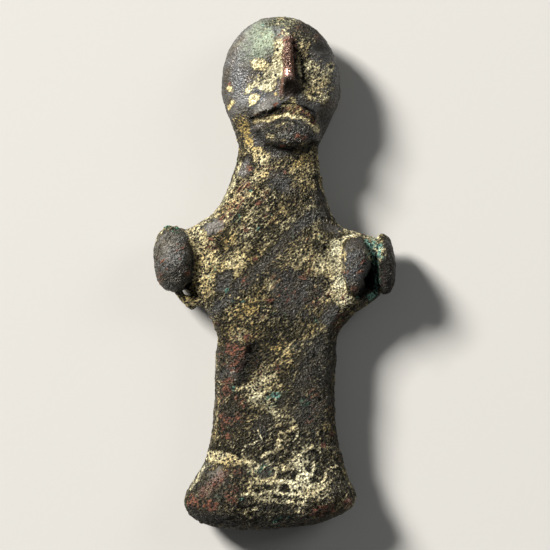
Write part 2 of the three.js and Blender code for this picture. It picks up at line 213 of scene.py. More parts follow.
HEAD_MARKS = {
    "smooth face": spot(
        281, 85, 64, 74, edge=0.12, ragged=0.05, earth=0.0, warmth=0.45, calm=0.88, cuprite=-0.4,
        malachite=-0.5,
    ),
    # Painted light: lifts the right side of the face, which the light hardly reaches
    "grey right side of the face": spot(322, 92, 16, 30, edge=0.6, bloom=0.12, calm=0.82, turquoise=0.0),
    "rough back of the jaw, left": spot(
        238, 128, 9, 20, turn=-20, earth=0.3, warmth=0.8, calm=0.2, shade=0.2,
    ),
    "smooth left temple": spot(238, 72, 14, 24, calm=0.9, earth=0.0, shade=0.12),
    "dark left edge of the face": spot(225, 81, 5, 13, edge=0.8, shade=0.35),
    # Painted sheen on the lower left of the face
    "pale lower left of the face": spot(243, 106, 9, 13, edge=0.7, bloom=0.25, turquoise=0.0),
    "bloom on the brow": spot(
        260, 44, 17, 15, turn=40, edge=0.9, ragged=0.8, bloom=0.6, calm=0.6, earth=0.1, turquoise=1.0,
    ),
    "thick bloom on the brow": spot(
        266, 38, 9, 9, turn=40, edge=0.9, ragged=0.9, bloom=1.0, earth=0.3, warmth=0.3, turquoise=1.0,
    ),
    "bloom under the crown": spot(
        262, 27, 12, 6, turn=30, edge=0.7, bloom=0.4, malachite=0.15, turquoise=1.0,
    ),
    "green tint over the eye": spot(
        262, 53, 10, 4, turn=30, edge=0.7, bloom=0.5, malachite=0.2, turquoise=1.0,
    ),
    "grainy crown": spot(284, 22, 18, 6, earth=0.5, warmth=0.35, bloom=0.35, calm=0.1, turquoise=0.8),
    "rough right brow": spot(305, 38, 14, 14, turn=-40, earth=0.42, warmth=0.55, calm=0.2, shade=0.25),
    "red dots on the brow": spot(303, 27, 11, 5, turn=-25, cuprite=0.36),
    "red dots at the temple": spot(318, 36, 5, 5, cuprite=0.36),
    "smooth right temple": spot(324, 52, 11, 15, turn=25, calm=0.95, earth=0.05),
    # Painted shade on the right temple and the right of the crown, which face away from the light
    "dark right temple": spot(325, 45, 10, 13, turn=25, edge=0.6, shade=1.0),
    "dark right side of the crown": spot(308, 28, 10, 7, turn=-30, edge=0.7, shade=0.95),
    "lump beside the top of the nose": spot(281, 36, 6, 11, edge=0.5, rise=0.16, cuprite=0.25, bloom=0.3),
    # A small step down, with painted shade along it
    "step beside the lump": streak(
        [(274, 27), (276, 33), (275, 39), (277, 46)], 2, ragged=1.2, rise=-0.1, shade=0.5,
    ),
    "earth over the nose": spot(285, 35, 5, 6, earth=0.6, warmth=0.35),
    "earth in the left eye": spot(
        258, 64.5, 9, 7, edge=0.25, ragged=0.3, earth=1.3, warmth=0.35, calm=0.6, rise=0.03,
    ),
    "earth down the left of the nose": streak(
        [(279.5, 45), (278, 56), (278, 70)], 9, ragged=0.3, earth=1.4, warmth=0.2, calm=0.55,
    ),
    "earth across the left cheek": streak(
        [(278, 70), (270, 77)], 15, edge=0.6, ragged=0.3, earth=1.55, warmth=0.1, calm=0.85,
    ),
    "lower earth across the left cheek": streak(
        [(271, 78), (262, 85)], 14, edge=0.6, ragged=0.5, earth=0.9, warmth=0.2, calm=0.8,
    ),
    "thin end of that earth": streak(
        [(264, 84), (254, 86), (246, 92)], 8, edge=0.7, ragged=0.3, earth=0.7, warmth=0.25, calm=0.85,
    ),
    "bare skin between eye and nose": spot(267, 56, 5, 6, turn=40, ragged=0.2, earth=-0.1, calm=0.8),
    "bare skin under the left eye": spot(259, 76, 8, 2.5, turn=20, ragged=0.2, earth=0.55, calm=0.8),
    "upper pit beside the nose": spot(277.5, 51, 1.6, 2, rise=-0.08, shade=0.5, earth=0.2),
    "lower pit beside the nose": spot(276, 76, 1.6, 1.6, rise=-0.06, shade=0.35, earth=0.2),
    "earth under the left eye": spot(253.3, 100, 4.5, 7, turn=-20, earth=1.15, warmth=0.6, rise=0.04),
    "red at the left edge": spot(229, 84, 3.5, 2.5, cuprite=0.74),
    "earth at the left edge": spot(230.5, 88, 3.5, 3, earth=0.95, warmth=0.6),
    "lower earth at the left edge": streak([(233, 102), (229, 108)], 4, earth=0.95, warmth=0.6),
    "earth behind the jaw": streak(
        [(240, 119), (243, 130), (250, 146), (262, 152)], 10, edge=0.8, ragged=0.8, earth=0.7, warmth=0.9,
    ),
    "smooth cheek, left": spot(268, 102, 13, 8.5, turn=20, earth=0.0, calm=1.0, rise=0.05),
    # Painted sheen on the lower cheek
    "light grey lower cheek": spot(267, 106, 14, 6.5, turn=22, edge=0.6, bloom=0.27, turquoise=0.0),
    "dot on the cheek": spot(276, 96, 2.5, 3, earth=0.8, warmth=0.6),
    "thin earth over the low cheek": spot(271.5, 88, 7, 4, turn=35, edge=0.6, earth=1.0, warmth=0.25),
    "earth in the right eye": spot(306.5, 64, 6, 4.5, turn=-20, earth=1.25, warmth=0.5, calm=0.4),
    "brown earth under the right eye": spot(303, 75, 3.5, 5.5, turn=20, earth=0.9, warmth=0.75),
    "speckle on the right cheek": spot(
        314, 81, 12, 20, turn=15, edge=0.9, earth=0.72, warmth=0.3, calm=0.1,
    ),
    "speckle at the right edge of the cheek": spot(325, 80, 6, 9, edge=0.8, earth=0.75, warmth=0.35),
    "dense speckle on the right cheek": spot(
        320, 98, 9, 6, turn=-20, edge=0.6, earth=1.15, warmth=0.3, calm=0.1,
    ),
    "ring of earth": spot(330.3, 66.9, 5, 4.5, earth=0.85, warmth=0.5),
    "middle of the ring": spot(331, 67, 1.9, 1.9, ragged=0, earth=0.0, shade=0.9, rise=-0.1),
    "speckle right of the nose": spot(301, 52, 6, 16, edge=0.6, earth=0.5, warmth=0.6, calm=0.2, shade=0.2),
    # A shallow groove with painted shadow along the right side of the nose
    "groove and painted shadow right of the nose": streak(
        [(301, 60), (303, 70), (301.5, 75), (305, 83), (310, 87), (312, 94), (317, 98)], 2.4, edge=0.8,
        ragged=1.3, rise=-0.05, shade=0.4, earth=0.2,
    ),
    "earth along the nose": streak([(298.5, 58), (299, 70), (301, 88)], 3, earth=0.9, warmth=0.5),
    "earth under the nose": spot(290, 104, 9, 6, earth=0.8, warmth=0.55, calm=0.1),
    "dark skin right of the nose foot": spot(
        307, 101, 5, 4, edge=0.6, earth=0.08, shade=0.35, cuprite=0.25,
    ),
    "earth right of the nose": spot(307, 90, 5, 5, edge=0.7, earth=1.0, warmth=0.45),
    "smooth cheek, right": spot(311, 109, 13, 9, turn=-15, calm=0.9, earth=0.05),
    "ridge of the nose": streak(
        [(289, 44), (289.5, 74)], 14, edge=0.2, ragged=0.2, earth=0.0, copper=0.6, cuprite=0.22, calm=0.3,
    ),
    "grey of the nose": spot(287, 60, 3, 9, edge=0.8, cuprite=0.05, copper=0.45),
    "red of the nose, right": spot(293, 63, 3, 8, edge=0.6, cuprite=0.5, shade=0.1),
    "worn tip of the nose": spot(288, 75, 4.5, 5, copper=1.0, calm=1.0, cuprite=0.05),
    # Painted shade under the tip of the nose, which faces down and away from the light, over the wings'
    # cuprite and copper
    "wings of the nose": spot(
        290.5, 87, 10, 11, edge=0.3, ragged=0.2, cuprite=0.3, copper=0.2, earth=0.0, shade=0.45,
    ),
    "underside of the nose": spot(
        293, 89, 8.5, 10, edge=0.5, ragged=0.2, shade=0.96, earth=0.0, cuprite=0.0,
    ),
    "left wing of the nose": streak(
        [(284, 79), (281.5, 88), (281, 96)], 3, ragged=0.5, cuprite=0.45, copper=0.25, shade=0.2,
    ),
    "earth at the foot of the nose": spot(286, 99.5, 7, 2.5, turn=-5, earth=0.6, warmth=0.8, shade=0.35),
}

MOUTH_MARKS = {
    "brown earth over the crescent": streak(
        [(256, 120), (266, 116), (278, 112), (290, 109.5), (302, 113), (312, 120)], 8, edge=0.4, earth=0.42,
        warmth=0.95, calm=0.0, shade=0.52, cuprite=0.3,
    ),
    # Painted shadow under the edge of the cheek
    "undercut of the cheek": streak(
        [(250, 120), (257, 118), (263, 115.5), (269, 113), (275, 111.5), (280, 109)], 2.2, edge=0.7,
        ragged=1.2, shade=0.75, earth=0.0, rise=-0.08,
    ),
    "red brown over the mouth": spot(276, 106, 4, 2.5, turn=30, cuprite=0.55, shade=0.15),
    "red brown under the right cheek": streak(
        [(298, 107), (307, 113), (315, 121)], 3.4, cuprite=0.5, shade=0.2,
    ),
    "orange earth above the lip": spot(
        296, 110, 11, 4, turn=-20, earth=0.8, warmth=0.7, calm=0.1, shade=0.15,
    ),
    "thin end of the crescent": streak(
        [(255, 122.5), (262, 121.3), (268, 119.8)], 3.4, ragged=0.25, earth=1.2, warmth=0.5, calm=0.6,
    ),
    "crescent of earth above the lip": streak(
        [(266, 120), (279, 117.7), (290, 116.3), (301, 119), (310, 124), (317, 131)], 5.0, ragged=0.25,
        earth=1.35, warmth=0.5, calm=0.6,
    ),
    "right end of the crescent": spot(314.5, 128, 4.5, 6, turn=30, earth=1.1, warmth=0.45, calm=0.4),
    "smooth lip": spot(
        287.5, 132, 26, 12.5, edge=0.2, ragged=0.1, calm=0.45, earth=0.1, malachite=-0.1, cuprite=0.05,
        shade=0.15,
    ),
    "dark right of the chin": spot(326, 117, 7, 11, edge=0.7, shade=0.6),
    "light scratches on the lip": streak(
        [(279, 135), (286, 132.5), (293, 135.5)], 1.6, ragged=1.5, bloom=0.5, earth=0.2,
    ),
    "groove of the lip": streak([(272, 124), (283, 120.5), (296, 123)], 2.2, rise=-0.12, shade=0.5),
    "dust on the lip": spot(
        283, 126.5, 8, 3, turn=10, edge=0.8, ragged=1.4, earth=0.5, warmth=0.4, bloom=0.1,
    ),
    "earth at the left of the lip": spot(270, 137.5, 5, 4, earth=0.65, warmth=0.55),
    "earth at the foot of the lip": spot(285, 140.5, 5, 2.5, earth=0.6, warmth=0.5),
    "red on the lip": spot(300, 137.5, 8, 3, turn=-5, cuprite=0.45),
    "red under the lip": spot(284, 147.5, 4.5, 3, cuprite=0.7, earth=0.0),
    # Painted shadow under the lip, over a shallow hollow
    "hollow under the lip": streak(
        [(268, 148.5), (288, 152.5), (311, 147)], 7, shade=0.85, rise=-0.1, earth=0.2,
    ),
}

CHEST_MARKS = {
    "earth on the neck, left": spot(260, 157, 12, 7, turn=-30, earth=1.05, warmth=0.4, calm=0.0),
    "earth on the neck, right": spot(304, 165, 17, 18, edge=0.7, earth=0.72, warmth=0.8, calm=0.0),
    "smooth dark neck patch": spot(245.5, 168, 8, 11, turn=-15, earth=0.02, calm=0.85),
    "red on the neck patch": spot(251, 168, 4, 3.5, cuprite=0.7),
    "edge of the neck patch": streak(
        [(237, 177), (243, 181), (250, 178)], 3, rise=-0.1, shade=0.4, earth=0.7,
    ),
    "smooth dark throat": spot(279, 182, 16, 10, turn=-30, edge=0.6, earth=0.04, calm=0.75),
    "red on the throat": spot(284, 172, 3, 2.5, cuprite=0.7),
    "yellow earth right of the throat": spot(317, 187, 7, 5, turn=-30, earth=1.0, warmth=0.6),
    "dark right side of the neck": spot(
        322, 205, 8, 18, turn=10, edge=0.6, earth=0.1, calm=0.55, shade=0.2,
    ),
    "earth along the pink streak": streak(
        [(243, 192), (236, 204), (226, 220)], 12, edge=0.8, earth=0.78, warmth=0.45,
    ),
    "earth left of the throat": spot(262, 174, 6, 7, turn=-30, edge=0.7, earth=0.92, warmth=0.6),
    # Cuprite and worn copper, and a painted pinkish highlight along the streak
    "pink streak on the left": streak(
        [(246, 187), (237, 203), (225, 219)], 11, edge=0.7, cuprite=0.48, copper=0.3, bloom=0.3,
        turquoise=0.0,
    ),
    "earth right of the pink streak": spot(252, 198, 5, 6, edge=0.8, earth=0.85, warmth=0.5),
    "yellow earth at the left rim": spot(231, 203, 7, 5, turn=30, earth=0.8, warmth=0.55),
    # Painted rim highlights along the outline of the neck and shoulders, laid as cream earth, with a painted
    # dark line inside the right one
    "cream rim of the left shoulder": streak(
        [(241, 162), (233, 184), (222, 205), (207, 220), (186, 231)], 4, earth=0.7, warmth=0.4,
    ),
    "cream rim of the right shoulder": streak(
        [(319, 165), (327, 200), (333, 217), (347, 231)], 3.5, earth=0.7, warmth=0.4,
    ),
    "dark line inside the right rim": streak(
        [(315, 175), (323, 205), (330, 221)], 3, shade=0.4, earth=0.15,
    ),
    "dark speckle, upper chest": spot(
        277, 215, 26, 22, turn=40, edge=0.8, earth=0.44, warmth=0.6, calm=0.1,
    ),
    "light scratch": streak([(312, 208), (313, 239)], 1.6, ragged=0.1, rise=-0.08, bloom=0.8),
    "light dot over the scratch": spot(312, 207, 3, 2, earth=0.7, warmth=0.3),
    # Smooth skin with a painted sheen
    "smooth left shoulder": spot(
        212, 227, 13, 6.5, turn=25, earth=0.15, calm=0.8, bloom=0.3, shade=0.0, turquoise=0.0,
    ),
    "smooth right shoulder": spot(331, 228, 10, 5.5, turn=-20, earth=0.15, calm=0.8),
    "earth under the left shoulder": spot(209, 254, 10, 12, edge=0.6, earth=1.15, warmth=0.55, calm=0.0),
    "earth beside the left hand": spot(206, 281, 11, 15, edge=0.6, earth=0.86, warmth=0.6, calm=0.0),
    "earth at the left arm pit": spot(199, 236, 6, 7, edge=0.7, earth=0.95, warmth=0.5),
    "yellow earth, left chest": spot(236, 264, 15, 7.5, turn=20, edge=0.6, earth=0.92, warmth=0.55),
    "yellow earth under the shoulder": spot(233, 246, 14, 6, turn=30, edge=0.7, earth=0.42, warmth=0.6),
    "white dot": spot(208.3, 276, 1.8, 1.8, ragged=0.1, bloom=1.0, earth=0.9, warmth=0.0),
    "dark patch, left chest": spot(222, 281, 10, 8, turn=35, earth=0.1, calm=0.6),
    "dark diagonal band": streak(
        [(214, 311), (240, 286), (268, 259), (292, 236), (311, 216)], 12, edge=0.7, earth=0.18, calm=0.55,
        rise=0.05, shade=0.15,
    ),
    "dark middle of the chest": spot(
        292, 288, 25, 27, turn=30, edge=0.5, earth=0.08, warmth=0.7, calm=0.6, cuprite=0.12, shade=0.32,
    ),
    "earth in the middle of the chest": spot(293, 262, 22, 9, turn=-5, edge=0.7, earth=0.55, warmth=0.6),
    "earth between the chest patches": spot(272, 285, 6, 12, turn=20, edge=0.7, earth=0.6, warmth=0.55),
    "thin earth right of the chest middle": spot(
        306, 259, 13, 10, edge=0.7, earth=0.74, warmth=0.5, calm=0.0,
    ),
    "earth right of the chest middle": spot(
        323, 267, 12, 7, turn=15, edge=0.6, earth=1.15, warmth=0.4, calm=0.1,
    ),
    "dark patch over that earth": spot(320, 248, 8, 7, turn=30, edge=0.7, earth=0.35, warmth=0.6),
    "dense earth beside the right hand": spot(
        334.5, 257, 6.5, 17, turn=-4, edge=0.5, earth=1.6, warmth=0.3, calm=0.55,
    ),
    "lower earth beside the right hand": spot(
        336, 282, 6, 12, turn=10, edge=0.6, earth=1.15, warmth=0.3, calm=0.2,
    ),
    "earth over the right arm": spot(331, 304, 12, 6, turn=10, edge=0.7, earth=0.85, warmth=0.5),
    "earth under the right hand": spot(341, 297, 11, 8, turn=-30, edge=0.6, earth=1.2, warmth=0.3),
    "ochre band, lower chest": spot(247, 311, 18, 6, turn=15, edge=0.7, earth=0.62, warmth=0.9),
    "smooth ridge by the right arm": spot(
        330, 315, 7, 15, turn=-35, edge=0.5, earth=0.15, calm=0.7, bloom=0.1,
    ),
    "red by the right arm": spot(339, 315, 4, 5, turn=-20, cuprite=0.49),
    "red spot, chest centre": spot(255, 259, 3, 3, cuprite=0.66),
    "red spot, upper chest": spot(247, 229, 4, 4, cuprite=0.57),
    "red spot, right chest": spot(302, 278, 3.5, 3, cuprite=0.57),
    "red spot, under the neck": spot(258.6, 203.6, 4, 3, cuprite=0.57),
    "red spot, lower chest": spot(268.7, 301, 5, 3.5, turn=-20, cuprite=0.74),
    "red spots by the band": spot(246, 281, 5, 5, edge=0.8, cuprite=0.49),
    "pink spot, upper chest": spot(267, 193, 4, 5, edge=0.7, cuprite=0.5, earth=0.5),
    "green point, neck": green_point(251, 191, 2.2, 2.2),
    "green point, upper chest": green_point(271, 215, 2.2, 1.6),
    "green point, middle": green_point(258, 230, 3, 1.6, turn=50),
    "green area, left chest": spot(234, 218, 9, 7, edge=0.9, malachite=0.35),
    "green point, lower left": green_point(226, 289.5, 3, 3),
    "green point, lower chest": green_point(243, 302, 3.5, 1.8, turn=20),
    "green point by its side": green_point(233, 302, 2, 3),
    "green tint by the left hand": spot(212, 268, 8, 12, edge=0.9, malachite=0.28),
}

HAND_MARKS = {
    "pad of the left hand": spot(
        174.5, 262, 21.5, 34, edge=0.08, ragged=0, earth=0.04, calm=0.52, warmth=0.6, shade=0.0,
    ),
    # Painted highlight on the top of the pad
    "smooth crown of the pad": spot(172, 249, 12, 14, edge=0.6, calm=0.6, bloom=0.3, turquoise=0.0),
    "copper specks, upper pad": spot(181, 249, 8, 7, turn=-30, edge=0.9, cuprite=0.26),
    "copper specks, lower pad": spot(168, 263, 11, 5, turn=10, edge=0.9, cuprite=0.34),
    # Painted shade on the lower side of the pad
    "dark lower half of the pad": spot(168, 280, 14, 10, edge=0.8, shade=0.4),
    "copper specks, foot of the pad": spot(188, 273, 4, 5, cuprite=0.55),
    "copper specks, left edge of the pad": spot(161, 276, 4, 12, edge=0.8, cuprite=0.4),
    "earth along the pad": streak(
        [(190, 236), (195, 250), (197, 268), (193, 288)], 5, earth=0.75, warmth=0.7,
    ),
    "inner rib": streak(
        [(184.7, 291), (187, 299), (193, 305), (201, 306.5)], 2.5, ragged=0.2, earth=0.85, warmth=0.7,
    ),
    "outer rib": streak([(176.3, 295), (180, 301), (184, 306)], 2.2, ragged=0.2, earth=0.7, warmth=0.75),
    "inner lobe of the right hand": spot(
        356.5, 265, 14.5, 28, turn=6, edge=0.1, ragged=0.05, earth=0.04, calm=0.7, shade=0.3,
    ),
    "red on the lobe, upper": spot(361, 263, 5, 4, edge=0.8, cuprite=0.35),
    "red on the lobe, middle": spot(359, 272, 4, 3, edge=0.8, cuprite=0.5),
    "red on the lobe, left": spot(346, 272, 4, 3, edge=0.7, cuprite=0.49),
    "red at the foot of the lobe": spot(352, 289, 5, 4, edge=0.7, cuprite=0.66),
    "dark lower left of the lobe": spot(348.5, 283, 4, 12, turn=-5, edge=0.6, shade=0.45, earth=0.0),
    "dark foot of the lobe": spot(354, 289, 6, 5, edge=0.6, shade=0.65),
    "bright earth beside the lobe": streak(
        [(337.5, 243), (336, 265), (339.5, 280), (340.5, 294)], 7.5, edge=0.8, ragged=0.7, earth=1.6,
        warmth=0.1, calm=0.45,
    ),
    # Painted shadow beside the lobe
    "dark line beside the lobe": streak([(344.5, 248), (344.5, 272)], 3, edge=0.7, earth=0.5, shade=0.4),
    "earth over the lobe": streak([(340, 242), (346, 236.5), (357, 235.5)], 3, earth=0.95, warmth=0.25),
    # Painted shadow: the outer lobe lies in the inner lobe's shadow
    "outer lobe of the right hand": spot(
        388, 267, 10, 29, edge=0.15, ragged=0.05, earth=0.03, calm=0.5, shade=1.0,
    ),
    "dark top of the outer lobe": spot(387, 244, 8, 6, edge=0.6, shade=0.85, earth=0.0),
    "rust on the outer lobe": spot(385, 279, 3.5, 8, edge=0.7, cuprite=0.57),
    "rust at the edge of the outer lobe": spot(393, 270, 3, 5, edge=0.7, cuprite=0.4),
    "green web between the lobes": spot(
        375, 249, 9, 12, edge=0.4, earth=0.95, warmth=0.2, malachite=0.58, calm=0.0, turquoise=0.7,
        shade=0.0,
    ),
    "green down the web": streak(
        [(366, 241), (373, 256), (373, 268)], 5, malachite=0.8, turquoise=0.75, shade=0.0,
    ),
    "green bottom of the grip": streak([(358, 297), (368, 296), (377, 295)], 5, malachite=0.5, earth=0.3),
    # Painted shade in the hollow of the grip, over a real hollow
    "hollow under the inner lobe": streak(
        [(372, 272), (366, 286), (361, 294)], 7, edge=0.5, ragged=0.2, shade=0.9, earth=0.0, rise=-0.3,
    ),
    "black hollow of the grip": spot(
        369, 281, 5, 10, edge=0.5, ragged=0.2, shade=0.8, earth=0.0, malachite=0.4,
    ),
    "green rim of the outer lobe": streak(
        [(374, 254), (376.5, 266), (377.5, 280), (376, 292), (370, 298)], 6, malachite=0.9, turquoise=0.45,
        shade=0.0, earth=0.0,
    ),
    "bright green point": spot(374, 294, 2.2, 2.2, malachite=0.95, turquoise=1.0),
    # Painted rim highlight along the top of the arm, laid as cream earth
    "cream rim over the right arm": streak(
        [(345, 230), (365, 236), (380, 238.5)], 3, earth=0.7, warmth=0.4,
    ),
}

LAP_MARKS = {
    "dark left thigh": spot(
        228, 402, 16, 42, turn=4, edge=0.5, earth=0.26, warmth=0.5, calm=0.25, shade=0.2,
    ),
    "red hip": spot(236, 352, 12.5, 17, turn=-15, edge=0.7, cuprite=0.63, earth=0.1, calm=0.3, rise=0.14),
    "red under the hip": spot(239, 370, 4, 4, cuprite=0.7, earth=0.05),
    "red over the hip": spot(249, 337, 6, 3, turn=20, cuprite=0.7),
    "red at the arm pit, left": spot(215, 325, 5, 4, turn=20, cuprite=0.49),
    # Painted shade in the hollows beside the hip, over real hollows
    "hollow beside the hip": streak(
        [(257, 338), (251, 352), (247, 366), (240, 377)], 14, edge=0.8, shade=0.85, earth=0.15, rise=-0.2,
    ),
    "hollow over the lap": streak(
        [(251, 350), (262, 352), (269, 356)], 8, edge=0.7, shade=0.55, rise=-0.15,
    ),
    "blue dark skin under the hip": spot(231, 373, 9, 9, calm=0.7, earth=0.04, shade=0.15),
    # A painted glint of light on the smooth dark ridge
    "painted glint under the hip": spot(232.5, 371, 1.6, 1.6, ragged=0, bloom=1.0, calm=1),
    "speckle over the lap": spot(270, 332, 30, 14, edge=0.8, earth=0.38, warmth=0.8, calm=0.0, shade=0.2),
    "ochre diagonal": streak(
        [(283, 352), (295, 345), (307, 338), (322, 328)], 11, edge=0.6, earth=0.7, warmth=0.75,
    ),
    "dusty waist, left": spot(240, 333, 10, 7, edge=0.7, earth=0.64, warmth=0.5),
    "dark waist, right": spot(297, 331, 9, 5, turn=30, edge=0.7, earth=0.22, shade=0.25),
    "dark waist, middle": spot(272, 325, 10, 5, edge=0.7, earth=0.25, shade=0.25),
    "honeycomb of earth": spot(258, 393, 17, 11, edge=0.5, earth=0.76, warmth=0.35, calm=0.0, shade=0.0),
    "upper part of the honeycomb": spot(
        267, 379, 11, 12, edge=0.5, earth=0.86, warmth=0.35, calm=0.0, shade=0.0,
    ),
    "honeycomb upper end": spot(267, 370, 8, 6, edge=0.6, earth=0.62, warmth=0.4),
    "red point on the lap": spot(277.5, 367.5, 3, 5, cuprite=0.74),
    "turquoise on the lap": spot(
        275, 394, 8.5, 7.5, edge=0.9, malachite=0.58, turquoise=0.5, earth=0.5, shade=0.0,
    ),
    "bright turquoise": spot(
        275.6, 396, 3, 2.2, ragged=0.3, malachite=0.9, turquoise=1.0, shade=0.0, earth=0.2,
    ),
    "olive under the turquoise": spot(
        272, 405, 13, 6, edge=0.7, earth=0.68, warmth=0.45, malachite=0.3, shade=0.2,
    ),
    "smooth right thigh": spot(
        312, 385, 25, 50, turn=-15, edge=0.35, earth=0.2, warmth=0.4, calm=0.35, shade=0.36,
    ),
    "dust on the right thigh": spot(309, 391, 10, 8, edge=0.8, earth=0.36, warmth=0.45),
    "dust by the lap": spot(293, 372, 8, 8, edge=0.8, earth=0.3),
    "green on the thigh": spot(303, 404, 7, 6, edge=0.7, malachite=0.32, earth=0.3),
    "red, left thigh": spot(226, 389, 7, 12, turn=-10, edge=0.5, cuprite=0.62),
    "red, left thigh, inner": spot(240, 402, 6, 6, edge=0.5, cuprite=0.62),
    "red, left thigh, lower": spot(239.5, 415, 6.5, 6, edge=0.5, cuprite=0.62),
    "red, left thigh, foot": spot(226, 420, 7, 10, turn=-15, edge=0.6, cuprite=0.62),
    "red over the crease": spot(227, 436, 8, 3, edge=0.6, cuprite=0.49),
    "green, left thigh": spot(234, 390, 2.5, 3.5, malachite=0.66),
    "smooth dark left of the lap": spot(262, 425, 12, 9, edge=0.6, earth=0.1, calm=0.5, shade=0.3),
    "cream veins under the lap": streak(
        [(272, 412), (281, 419), (290, 424), (297, 428)], 6, earth=0.8, warmth=0.35,
    ),
    "earth under the lap": spot(286, 420, 10, 7, turn=-25, edge=0.6, earth=0.58, warmth=0.4),
    "yellow left edge": streak([(219, 380), (218, 415), (214, 440)], 3, edge=0.7, earth=0.5, warmth=0.6),
    "cream right edge": streak(
        [(336, 375), (336, 410), (341, 445), (347, 470)], 2.5, edge=0.6, earth=0.55, warmth=0.6,
    ),
    "orange spot at the right edge": spot(333, 434, 4, 3, turn=-30, cuprite=0.66, warmth=1.0, earth=0.4),
    "red spot, right knee": spot(324, 446, 3, 3, cuprite=0.66),
}

